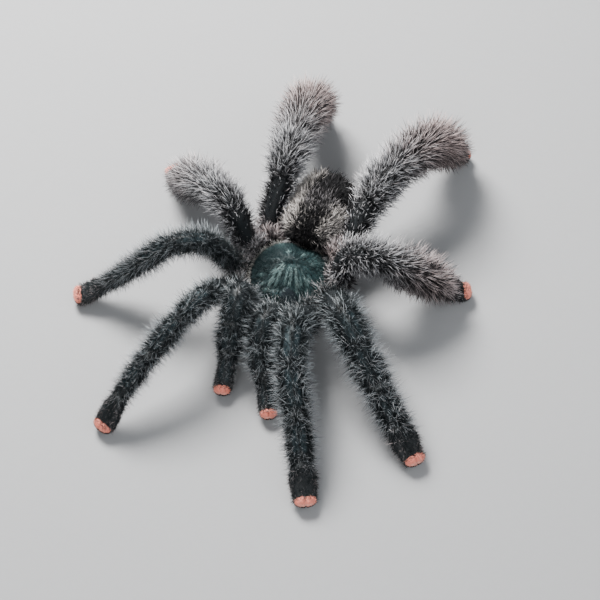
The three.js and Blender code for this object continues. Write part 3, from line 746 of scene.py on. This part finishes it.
shield = {
    "spokes": 240, "shares": 70,  # the grid's points round the rim and from the pit to the rim
    "furrows": (32, 68, 100, 132, 160), "furrowWidth": 0.11, "furrowDepth": 0.16, "fold": 0.012,
    # Rise and widths of the raised head, the eye mound and the pit
    "head": (1.1, 3.2), "mound": (0.8, 1.3, 0.9), "moundY": -7.2, "pit": (1.0, 1.1, 0.7),
    # Pale streaks fan forward from a point behind the pit: degrees from straight ahead, how pale, and how
    # far from that point they end
    "fanFrom": (-0.9, 2.6), "streakWidth": 2.1,
    "streaks": [(-24, 0.2, 7.5), (-14, 0.45, 8.4), (-6, 1.0, 9.2), (2, 1.0, 9.2), (8, 0.4, 8.0),
                (14, 0.7, 8.8), (21, 0.9, 8.8), (31, 1.0, 9.8), (38, 0.6, 8.4), (46, 0.7, 8.8),
                (55, 0.5, 7.6), (65, 0.4, 7.4)],
    # Pale blotches: place, radius and how pale
    "blotches": ((-1.8, -4.2, 0.6, 0.8), (-2.3, -6.2, 0.5, 0.7), (-4.5, -2.8, 0.5, 0.5),
                 (-3.3, -4.7, 0.5, 0.5), (4.4, -0.6, 0.5, 0.5), (3.4, -2.6, 0.4, 0.5), (5.2, -2.4, 0.4, 0.4),
                 (1.2, 3.6, 0.6, 0.4), (3.6, 2.6, 0.5, 0.4), (-1.4, 3.2, 0.5, 0.3)),
    # A smooth dark swelling beside the eye mound: its middle, radius and rise
    "swelling": (3.0, -6.4), "swellingRadius": 2.2, "swellingRise": 0.35,
    # Numbers, lengths and widths of the hairs
    "satin": 15500, "satinLength": 0.9, "satinWidth": 0.11, "strandLength": 1.5,
    "bristles": 260, "bristleLength": 1.1, "bristleWidth": 0.1,
    "fringe": 1500, "fringeLength": 1.1, "fringeWidth": 0.1,
    "skinDark": (0.003, 0.011, 0.013), "skinLight": (0.04, 0.105, 0.11), "skinGrey": (0.013, 0.021, 0.028),
    "satinRoot": (0.003, 0.014, 0.017), "satinGrey": (0.45, 0.76, 0.76), "satinWarm": (0.76, 0.74, 0.68),
    "fringeRoot": (0.03, 0.034, 0.034), "fringeGrey": (0.66, 0.67, 0.66), "fringeWarm": (0.78, 0.7, 0.6),
}


def rimPoints(count):
    # The rim seen from above: a closed centripetal spline, with points evenly along it from the front by the
    # left.
    half = np.array(plan["rimHalf"], float)
    loop = np.concatenate([half, half[-2:0:-1] * (-1, 1)])
    wrapped = np.concatenate([loop[-3:], loop, loop[:4]])
    fine = np.linspace(3, 3 + len(loop), 1200)
    points = splinePoint(wrapped, fine)
    length = np.concatenate([[0], np.cumsum(np.linalg.norm(np.diff(points, axis=0), axis=1))])
    even = np.arange(count) / count * length[-1]
    return np.stack([np.interp(even, length, points[:, 0]), np.interp(even, length, points[:, 1])], -1)


def swelling(x, y):  # 1 on the smooth swelling beside the eye mound
    x0, y0 = shield["swelling"]
    return 1 - smooth(0.65, 1.1, np.hypot(x - x0, y - y0) / shield["swellingRadius"])


def shieldHeight(x, y, share):
    # A dome that falls from the pit to the rim by a power of the share, plus bells for the raised head, the
    # eye mound and the swelling, less bells for the pit and the furrows, plus waves round the pit as folds.
    form = plan["shield"]
    (headRise, headWidth), (moundRise, moundWidth, moundLength) = shield["head"], shield["mound"]
    pitDepth, pitWidth, pitLength = shield["pit"]
    angle = np.arctan2(np.abs(x), form["foveaY"] - y)
    furrows = sum(bump(angle - math.radians(at), shield["furrowWidth"]) for at in shield["furrows"])
    band = smooth(0.12, 0.35, share) * (1 - smooth(0.75, 1, share))
    head = headRise * bump(x, headWidth) * (1 - smooth(-3, 0.5, y)) * (1 - share ** 6)
    mound = moundRise * bump(x, moundWidth) * bump(y - shield["moundY"], moundLength)
    pit = pitDepth * bump(x, pitWidth) * bump(y - form["foveaY"], pitLength)
    way = np.arctan2(x, form["foveaY"] - y)
    fold = shield["fold"] * (np.sin(way * 17 + share * 9) + 0.6 * np.sin(way * 41 - share * 13)) * band
    return form["rimHigh"] + form["dome"] * (1 - share ** 2.3) + head + mound - pit \
        - shield["furrowDepth"] * furrows * band + fold + shield["swellingRise"] * swelling(x, y)


def shieldPoint(rim, share):  # the upper surface at a share of the way from the pit to a rim point
    form = plan["shield"]
    x = rim[..., 0] * share
    y = form["foveaY"] + (rim[..., 1] - form["foveaY"]) * share
    z = shieldHeight(x, y, share)
    return np.stack([x + form["middle"][0] + origin[0], y + form["middle"][1] + origin[1], z], -1)


def shieldSurface(spoke, share):  # point, outward normal and direction away from the pit
    rim = rimPoints(720)
    at = (spoke * 720).astype(int) % 720
    point = shieldPoint(rim[at], share)
    outward = shieldPoint(rim[at], share + 0.01) - point
    beside = shieldPoint(rim[(at + 3) % 720], share) - point
    normal = unit(np.cross(outward, beside))
    return point, normal * np.sign(normal[..., 2:3]), unit(outward)


def fanWay(x, y):  # way out from the point behind the pit: across, along and distance
    x0, y0 = shield["fanFrom"]
    across, ahead = x - x0, y - (plan["shield"]["foveaY"] + y0)
    return across, ahead, np.hypot(across, ahead)


def streakTone(x, y):
    # How pale the shield is at a place: a bell across each streak, which fades at its end and is broken up
    # by a slow wave, and a bell at each blotch.
    across, ahead, distance = fanWay(x, y)
    angle = np.degrees(np.arctan2(across, -ahead))
    tone = sum(pale * bump(angle - at, shield["streakWidth"]) * (1 - smooth(end - 1.4, end, distance))
               for at, pale, end in shield["streaks"])
    tone = tone * (0.8 + 0.2 * np.sin(x * 5.3 + 2.1 * np.sin(y * 2.7)))
    tone = tone * smooth(-0.1, 1.1, plan["shield"]["foveaY"] - y)
    spots = sum(pale * bump(np.hypot(x - x0, y - y0), radius) for x0, y0, radius, pale in shield["blotches"])
    return np.clip(tone + spots, 0, 1)


def mottle(x, y):  # uneven patches from 0 to 1 about a millimetre across: crossed waves that bend each other
    return 0.5 + 0.5 * np.sin(x * 4.1 + 2 * np.sin(y * 3.3)) * np.sin(y * 4.7 + 2 * np.sin(x * 2.9))


def shieldPlan(point):  # a point's place on the shield, seen from above
    form = plan["shield"]
    return point[..., 0] - origin[0] - form["middle"][0], point[..., 1] - origin[1] - form["middle"][1]


def makeShieldSkin():  # dark teal with lighter spots where the painted sheen lights it, and grey on the swelling
    material, tree, shader = newMaterial("shieldSkin", Roughness=0.6, Specular_IOR_Level=0.3)
    zone = addNode(tree, "ShaderNodeAttribute", n_attribute_name="zone")
    parts = addNode(tree, "ShaderNodeSeparateColor", Color=zone.outputs["Color"])
    spots = addSpeckle(tree, 700.0)
    light = addNode(tree, "ShaderNodeMath", n_operation="MULTIPLY", i_0=spots, i_1=parts.outputs["Red"])
    teal = mixColor(tree, light.outputs[0], shield["skinDark"], shield["skinLight"])
    color = mixColor(tree, parts.outputs["Green"], teal, shield["skinGrey"])
    tree.links.new(color, shader.inputs["Base Color"])
    addBump(tree, shader, addSpeckle(tree, 1500.0), 0.5, 0.1)
    return material


def addShieldShell():
    # Rings from the pit out to the rim, one rolled over it, and flat rings back to the middle underneath.
    # The values say how light the skin is, a painted sheen that is lighter to the left and the rear, and
    # where the swelling is.
    form = plan["shield"]
    rim = rimPoints(shield["spokes"])
    shares = np.concatenate([np.linspace(0.03, 0.94, shield["shares"]), [0.965, 0.98, 0.985]])
    over = [shieldPoint(rim, share) for share in shares]
    rolled = shieldPoint(rim, np.array(1.0))
    rolled[:, 2] = (form["rimLow"] + form["rimHigh"]) / 2 + 0.05
    under = [shieldPoint(rim, share) for share in (0.98, 0.6, 0.1)]
    for ring in under:
        ring[:, 2] = form["rimLow"]
    points = closeTube(np.stack([*over, rolled, *under]))
    x, y = shieldPlan(points)
    # lit is a painted sheen: lighter to the left and the rear, in patches
    lit = (0.2 + 0.9 * smooth(-3, 5, x) + 0.3 * smooth(3, 6.5, y)) * (0.4 + mottle(x, y))
    values = np.stack([lit, swelling(x, y), np.zeros_like(x)], -1)
    faces = tubeFaces(len(over) + 4, shield["spokes"])[:, ::-1]
    addPiece("carapace_shell", points, faces, [makeShieldSkin()], "carapace", ["carapace"], {"zone": values})


def addShieldHair():
    # Satin hair that lies on the shield, pale strands along the fan, and bristles at its front. More of the
    # satin is pale near the rim, in patches, and it is dark in the gaps between streaks. It is also paler to
    # the left and the rear, a painted sheen.
    n = shield["satin"]
    point, normal, outward = shieldSurface(random.random(n), np.sqrt(random.random(n)) * 0.98)
    x, y = shieldPlan(point)
    across, ahead, distance = fanWay(x, y)
    strand = streakTone(x, y)
    fan = np.stack([across, ahead, np.zeros(n)], -1) / distance[:, None]
    forward = smooth(-0.3, 1.2, plan["shield"]["foveaY"] - y)[:, None]
    flow = outward * (1 - forward) + fan * forward
    flow = unit(flow - normal * (flow * normal).sum(-1, keepdims=True))
    bald = np.clip(swelling(x, y) + bump(x, 2.2) * bump(y - shield["moundY"], 1.4), 0, 1)
    rimShare = smooth(0.8, 1, np.hypot(x / 8.0, (y + 0.5) / 8.2))
    # painted sheen: the satin is paler to the left and the rear
    pale = 0.02 + 0.42 * smooth(0, 5, x) + 0.14 * smooth(2, 6, y) + 0.3 * rimShare
    paleShare = (0.22 + 0.35 * smooth(0, 4, x)) * (0.2 + 1.6 * mottle(x, y)) + 2 * strand
    pale = np.where(random.random(n) < paleShare, np.maximum(1.3 * pale, 2.1 * strand), 0.1 * pale)
    gap = smooth(0.8, 2.5, distance) * (1 - smooth(6, 8.5, distance)) * forward[:, 0]
    gap = gap * (1 - smooth(0.1, 0.4, strand))  # between the streaks
    pale = pale * np.maximum(0.25 + 1.5 * mottle(x, y), 1.4 * strand)
    pale = np.clip(pale, 0, 1) * (1 - 0.85 * bald) * (1 - 0.75 * gap) * vary(0.5, 0.5, n)
    warm = np.clip(0.05 + 0.15 * rimShare + 0.35 * strand + random.normal(size=n) * 0.08, 0, 1)
    onStrand = smooth(0.2, 0.6, strand)
    length = shield["satinLength"] + (shield["strandLength"] - shield["satinLength"]) * onStrand
    satin = growHair(point, normal, flow, length * vary(0.5, 0.7, n) * (1 - 0.5 * bald),
                     shield["satinWidth"] * (1 + 1.1 * strand), 0.2, pale, warm, jitter=0.12, twoPart=False)

    n = shield["bristles"]
    front = np.abs(random.normal(size=n) * 0.055) * np.sign(random.random(n) - 0.35)
    point, normal, outward = shieldSurface(front % 1, 1 - 0.3 * random.random(n) ** 2)
    bristles = growHair(point, normal, outward, shield["bristleLength"] * vary(0.5, 0.8, n),
                        np.full(n, shield["bristleWidth"]), 0.5, vary(0.4, 0.6, n),
                        np.full(n, 0.5), jitter=0.45, twoPart=False)
    points, faces, values = joinCoats([satin, bristles])
    hair = makeHair("shieldSatin", shield["satinRoot"], shield["satinGrey"], shield["satinWarm"], 0.0, 0.38)
    addPiece("carapace_satin", points, faces, [hair], "carapace", ["carapace"], {"coat": values})


def addFringe():  # hair that stands out from the rim, longer and dimmer at the front
    n = shield["fringe"]
    spoke = (tuftDraw(n) + random.normal(size=n) * 0.004) % 1
    point, normal, outward = shieldSurface(spoke, vary(0.985, 0.015, n))
    front = 1 - smooth(-7.5, -4, shieldPlan(point)[1])
    length = shield["fringeLength"] * vary(0.4, 0.9, n) * (1 + 0.4 * front)
    widths = shield["fringeWidth"] * vary(0.7, 0.6, n)
    pale = vary(0.35, 0.6, n) * (1 - 0.55 * front)
    warm = np.clip(0.35 + 0.3 * front + random.normal(size=n) * 0.15, 0, 1)
    points, faces, values = growHair(point, normal, unit(outward * (1, 1, 0.2)), length, widths, 0.2, pale,
                                     warm, jitter=0.4, twoPart=False)
    hair = makeHair("fringeHair", shield["fringeRoot"], shield["fringeGrey"], shield["fringeWarm"], 0.0, 0.5)
    addPiece("carapace_fringe", points, faces, [hair], "carapace", ["carapace"], {"coat": values})


def addShield():
    addShieldShell()
    addShieldHair()
    addFringe()
    print("carapace")


eyes = {
    # Eight eyes on the mound: out from the middle, forward of its top, radius
    "places": [(0.42, 0.35, 0.27), (1.0, 0.5, 0.24), (0.62, -0.15, 0.2), (1.15, -0.1, 0.24)],
    "rows": 10, "columns": 16, "dark": (0.004, 0.004, 0.005), "light": (0.03, 0.03, 0.035),
}


def addEyes():  # each a ball sunk halfway in the mound
    bead = makeSkin("eyeBead", eyes["dark"], eyes["light"], 2500.0, Roughness=0.08, Specular_IOR_Level=0.6,
                    Coat_Weight=0.6)
    form = plan["shield"]
    rise, turn = tubeGrid(np.linspace(0.15, math.pi - 0.15, eyes["rows"]), eyes["columns"])
    ball = np.stack([np.sin(rise) * np.cos(turn), np.sin(rise) * np.sin(turn), -np.cos(rise)], -1)
    points, faces = [], []
    for out, forward, radius in eyes["places"]:
        for side in (-1, 1):
            x, y = side * out, shield["moundY"] - forward
            share = math.hypot(x, y - form["foveaY"]) / (form["foveaY"] - plan["rimHalf"][0][1])
            z = float(shieldHeight(np.array(x), np.array(y), np.array(share)))
            middle = np.array([x + form["middle"][0], y + form["middle"][1], z]) + origin
            faces.append(tubeFaces(*rise.shape) + len(points) * (rise.size + 2))
            points.append(closeTube(middle + ball * radius))
    addPiece("eyes", np.concatenate(points), np.concatenate(faces), [bead], "eye")
    print("eyes")


sac = {
    "skin": (0.84, 0.89, 0.83), "rows": 70, "columns": 72,  # skin as a share of the solid's half sizes
    # Layers of hair: count, length, width, lift, stray and share of the pale hairs' tone
    "layers": ((4800, 2.4, 0.17, 0.45, 0.3, 1.0), (12500, 1.6, 0.13, 0.38, 0.32, 0.8),
               (3000, 0.8, 0.11, 0.3, 0.25, 0.3)),
    "dull": 0.003,  # how pale the other hairs are
    "dark": (0.003, 0.003, 0.003), "light": (0.011, 0.01, 0.011),
    "hairRoot": (0.0035, 0.0033, 0.0045), "greyTip": (0.52, 0.49, 0.52), "creamTip": (0.9, 0.84, 0.79),
}


def sacPoint(share, turn, scale):
    # An egg from front to rear: its half width is a power of a sine, fullest just before its middle. The
    # whole is then lifted at its rear and turned.
    form = plan["abdomen"]
    halfWidth, halfLength, halfHeight = np.array(form["half"]) * scale
    swell = np.sin(math.pi * share ** 0.92) ** 0.72
    local = np.stack([-np.cos(turn) * halfWidth * swell, -np.cos(math.pi * share) * halfLength,
                      np.sin(turn) * halfHeight * swell], -1)
    lift, yaw = math.radians(form["lift"]), math.radians(form["yaw"])
    tip = np.array([[1, 0, 0], [0, math.cos(lift), -math.sin(lift)], [0, math.sin(lift), math.cos(lift)]])
    spin = np.array([[math.cos(yaw), -math.sin(yaw), 0], [math.sin(yaw), math.cos(yaw), 0], [0, 0, 1]])
    return local @ (spin @ tip).T + np.array(form["center"]) + origin


def sacSurface(share, turn):  # point, outward normal and the direction towards the rear
    point = sacPoint(share, turn, sac["skin"])
    back = sacPoint(share + 0.004, turn, sac["skin"]) - point
    beside = sacPoint(share, turn + 0.01, sac["skin"]) - point
    return point, unit(np.cross(beside, back)), unit(back)


def sacTone(share, turn):
    # Share of the hairs that are pale, how pale those get and how warm: cream flanks, a grey middle, a dark
    # front patch with a few tan tips, and a dark rear.
    side, top = np.abs(np.cos(turn)), np.sin(turn)
    right = np.cos(turn) > 0
    end = np.where(right, 0.92, 0.6)  # where the cream of a flank ends
    narrow = np.where(right, 0.14, 0.25)  # how much narrower it is towards the rear
    inner = 0.36 + narrow * smooth(0.4, 0.75, share)
    flank = smooth(inner, inner + 0.18, side) * smooth(0.1, 0.22, share) * smooth(-0.7, -0.2, top)
    flank = flank * (1 - smooth(end - 0.16, end, share))
    middle = smooth(0.33, 0.41, share) * (1 - smooth(0.5, 0.62, share)) * (1 - flank)
    rear = smooth(0.5, 0.62, share) * (1 - flank)
    front = 1 - np.clip(flank + middle + rear, 0, 1)
    paleShare = 0.92 * flank + 0.5 * middle + 0.05 * rear + 0.12 * front
    level = flank + 0.4 * middle + 0.2 * rear + 0.5 * front
    return paleShare, level, 0.95 * flank + 0.15 * middle + 0.05 * rear + 0.8 * front


def addAbdomen():
    # The skin is the egg's rings. Of its hair, the layers stand up more at its front, and at the rear of its
    # right flank, where they are longer too.
    share, turn = tubeGrid(np.linspace(0.012, 0.988, sac["rows"]), sac["columns"])
    skin = makeSkin("sacSkin", sac["dark"], sac["light"], 1100.0, (0.5, 0.15), Roughness=0.75)
    addPiece("abdomen_skin", closeTube(sacPoint(share, turn, sac["skin"])), tubeFaces(*share.shape), [skin],
             "abdomen_hair", ["abdomen"])

    coats = []
    for layer, (count, length, width, lift, stray, tone) in enumerate(sac["layers"]):
        share = inTufts(np.arccos(random.uniform(-1, 1, count // tuft + 1)) / math.pi, count)
        share = np.clip(share + random.normal(size=count) * 0.01, 0.015, 0.97)
        turn = tuftDraw(count) * 2 * math.pi
        turn = turn + random.normal(size=count) * 0.04
        point, normal, back = sacSurface(share, turn)
        paleShare, level, warm = sacTone(share, turn)
        isPale = tuftDraw(count) < paleShare
        pale = np.where(isPale, tone * level * vary(0.6, 0.4, count), sac["dull"])
        warm = np.clip(warm + random.normal(size=count) * 0.1, 0, 1)
        bushy = smooth(0.4, 0.8, np.cos(turn)) * smooth(0.4, 0.6, share)
        upright = lift + 0.25 * (1 - smooth(0.05, 0.25, share)) + 0.25 * bushy
        lengths = length * vary(0.6, 0.55, count) * (1 + 0.4 * bushy)
        widths = width * vary(0.8, 0.4, count)
        coats.append(growHair(point, normal, back, lengths, widths, upright, pale, warm,
                              droop=0.25, jitter=stray, twoPart=layer == 0))
    points, faces, values = joinCoats(coats)
    hair = makeHair("sacHair", sac["hairRoot"], sac["greyTip"], sac["creamTip"], 0.0, 0.7)
    addPiece("abdomen_coat", points, faces, [hair], "abdomen_hair", ["abdomen"], {"coat": values})
    print("abdomen")


jaws = {
    "skin": 0.86,  # as a share of the solid's half sizes
    "under": 2200, "guards": 700, "underLength": 0.7, "guardLength": 1.6, "hairWidth": 0.09,
    "dark": (0.006, 0.006, 0.006), "light": (0.022, 0.019, 0.018),
    "hairRoot": (0.012, 0.011, 0.011), "greyTip": (0.42, 0.42, 0.42), "warmTip": (0.42, 0.34, 0.3),
    "fangDark": (0.004, 0.003, 0.003), "fangLight": (0.03, 0.012, 0.008),
}


def rodSurface(line, radii, share, turn):
    # Point, outward normal and direction on a bent rod: an ellipse across its line, sized by its radii.
    middle, direction, across, up = limbAxes(line, share * (len(line) - 1))
    width, height = radii(share)
    cos, sin = np.cos(turn)[..., None], np.sin(turn)[..., None]
    point = middle + across * cos * width[..., None] + up * sin * height[..., None]
    return point, unit(across * cos / width[..., None] + up * sin / height[..., None]), direction


def rodMesh(line, radii, rows, columns):  # rings along a bent rod, closed at both ends
    share, turn = tubeGrid(np.linspace(0, 1, rows), columns)
    return closeTube(rodSurface(line, radii, share, turn)[0]), tubeFaces(rows, columns)


def rodCoat(line, radii, count, length, width, pale, warm, twoPart):  # hair scattered over a rod
    share, turn = random.random(count) * 0.97, random.random(count) * 2 * math.pi
    point, normal, direction = rodSurface(line, radii, share, turn)
    lengths = length * vary(0.55, 0.8, count)
    return growHair(point, normal, direction, lengths, np.full(count, width), 0.4,
                    pale * vary(0.3, 0.7, count),
                    np.clip(warm + random.normal(size=count) * 0.15, 0, 1), jitter=0.22, twoPart=twoPart)


def jawLine(side):  # from under the rim forwards and down, arched
    jaw = plan["jaw"]
    share = np.array([0, 0.35, 0.7, 1])
    pitch = math.radians(jaw["pitch"])
    return np.stack([np.full(4, plan["shield"]["middle"][0] + side * jaw["out"]),
                     jaw["back"] - math.cos(pitch) * jaw["length"] * share,
                     jaw["high"] + math.sin(pitch) * jaw["length"] * share + 0.9 * np.sin(math.pi * share)],
                    -1) + origin


def jawRadii(share):  # full in its middle and round at its lower end
    jaw = plan["jaw"]
    full = 0.84 + 0.16 * np.sin(math.pi * share) - 0.5 * smooth(0.82, 1, share) ** 2
    return jaw["halfWidth"] * full * jaws["skin"], jaw["halfHeight"] * full * jaws["skin"]


def fangLine(side):  # folds back under its jaw along a curve
    fang = plan["fang"]
    x, y, z = jawLine(side)[3]
    share = np.array([0, 0.33, 0.67, 1])
    curl = math.radians(fang["curl"])
    back = fang["length"] * np.sin(curl * share) / math.sin(curl)
    return np.stack([x - side * 0.5 * share, y - 0.3 + back,
                     z - 1.4 - fang["dip"] * np.sin(math.pi * share * 0.8)], -1)


def fangRadii(share):  # tapers to a point
    return (plan["fang"]["radius"] * (1 - 0.85 * share),) * 2


def addJaws():  # on each side a jaw with under-fur and guard hairs, and a bare fang
    skin = makeSkin("jawSkin", jaws["dark"], jaws["light"], 1500.0, (0.4, 0.1), Roughness=0.6)
    hair = makeHair("jawHair", jaws["hairRoot"], jaws["greyTip"], jaws["warmTip"], 0.05, 0.5)
    shell = makeSkin("fangShell", jaws["fangDark"], jaws["fangLight"], 1800.0, Roughness=0.16,
                     Coat_Weight=0.5, Coat_Roughness=0.08)
    for label, side in (("right", -1), ("left", 1)):
        node = f"chelicera_{label}"
        line = jawLine(side)
        addPiece(f"{node}_skin", *rodMesh(line, jawRadii, 40, 28), [skin], "jaw_hair", [node])
        points, faces, values = joinCoats([
            rodCoat(line, jawRadii, jaws["under"], jaws["underLength"], jaws["hairWidth"], 0.35, 0.6, False),
            rodCoat(line, jawRadii, jaws["guards"], jaws["guardLength"], jaws["hairWidth"], 0.8, 0.4, True)])
        addPiece(f"{node}_coat", points, faces, [hair], "jaw_hair", [node], {"coat": values})
        addPiece(f"fang_{label}_shell", *rodMesh(fangLine(side), fangRadii, 40, 20), [shell], "fang",
                 [f"fang_{label}"])
    print("jaws and fangs")


belly = {
    "hairs": 2600, "hairLength": 1.1, "hairWidth": 0.08,
    "spinnerHairs": 500, "spinnerHairLength": 0.9, "spinnerHairWidth": 0.08,
    "dark": (0.01, 0.009, 0.008), "light": (0.04, 0.034, 0.03),
    "hairRoot": (0.014, 0.012, 0.011), "greyTip": (0.3, 0.28, 0.27), "warmTip": (0.32, 0.25, 0.2),
}


def bellyPoint(layer, turn):
    # A heart-shaped plate: ellipses that are narrower at the rear and drawn in towards the bottom.
    form = plan["sternum"]
    shares = np.interp(layer, [0, 1, 2, 3], [0.2, 0.85, 1, 1])
    z = np.interp(layer, [0, 1, 2, 3], [form["low"], form["low"] + 0.3, form["low"] + 1.2, form["high"]])
    middle, half = (form["front"] + form["back"]) / 2, (form["back"] - form["front"]) / 2
    narrow = 1 - 0.22 * np.sin(turn)
    return np.stack([form["middleX"] + np.cos(turn) * form["halfWidth"] * shares * narrow,
                     middle + np.sin(turn) * half * shares, z], -1) + origin


def addSternum(skin, hair):  # the plate and its hair, which leans to the rear
    form = plan["sternum"]
    layer, turn = tubeGrid(np.linspace(0, 3, 30), 48)
    addPiece("sternum_skin", closeTube(bellyPoint(layer, turn)), tubeFaces(*layer.shape), [skin],
             "body_plate", ["sternum"])
    n = belly["hairs"]
    layer, turn = random.random(n) * 1.6, random.random(n) * 2 * math.pi
    point = bellyPoint(layer, turn)
    above = np.array((form["middleX"], (form["front"] + form["back"]) / 2, form["high"] + 0.5)) + origin
    back = np.broadcast_to(np.array([0, 1.0, 0]), (n, 3))
    points, faces, values = growHair(
        point, unit(point - above), back, belly["hairLength"] * vary(0.5, 0.8, n),
        np.full(n, belly["hairWidth"]), 0.5, random.random(n), random.random(n), jitter=0.2, twoPart=False)
    addPiece("sternum_coat", points, faces, [hair], "body_plate", ["sternum"], {"coat": values})


def spinnerRadii(share):  # thinner towards the end
    return (plan["spinneret"]["radius"] * (1 - 0.45 * share ** 2),) * 2


def addBelly():  # the sternum, and two spinnerets that stand out from the abdomen's rear
    skin = makeSkin("bellySkin", belly["dark"], belly["light"], 1400.0, (0.5, 0.12), Roughness=0.7)
    hair = makeHair("bellyHair", belly["hairRoot"], belly["greyTip"], belly["warmTip"], 0.1, 0.55)
    addSternum(skin, hair)
    center, half, finger = plan["abdomen"]["center"], plan["abdomen"]["half"], plan["spinneret"]
    for label, side in (("right", -1), ("left", 1)):
        start = np.array([center[0] + side * finger["out"], center[1] + half[1] * 0.78,
                          center[2] - finger["drop"]]) + origin
        end = start + (side * 0.9, finger["length"], 0.2)
        line = np.stack([start, (start + end) / 2, end])
        node = f"spinneret_{label}"
        addPiece(f"{node}_skin", *rodMesh(line, spinnerRadii, 30, 20), [skin], "body_plate", [node])
        points, faces, values = rodCoat(
            line, spinnerRadii, belly["spinnerHairs"], belly["spinnerHairLength"],
            belly["spinnerHairWidth"], 0.5, 0.3, False)
        addPiece(f"{node}_coat", points, faces, [hair], "body_plate", [node], {"coat": values})
    print("sternum and spinnerets")


floorLook = {"size": 1500, "color": (0.38, 0.385, 0.395), "grain": (0.35, 0.355, 0.365), "roughness": 0.85}


def addFloor():  # one square under the part, which is background only
    size = floorLook["size"] * mm
    corners = [(-size, -size, 0), (size, -size, 0), (size, size, 0), (-size, size, 0)]
    mesh = bpy.data.meshes.new("floor")
    mesh.from_pydata(corners, [], [(0, 1, 2, 3)])
    mesh.materials.append(makeSkin("floorPaper", floorLook["grain"], floorLook["color"], 500.0,
                                   Roughness=floorLook["roughness"]))
    floor = bpy.data.objects.new("floor", mesh)
    bpy.context.collection.objects.link(floor)


addCamera()
addLights()
addFloor()
print("camera, light and floor")
addShield()
addEyes()
addAbdomen()
addJaws()
addBelly()
addLimbs()
addPads()
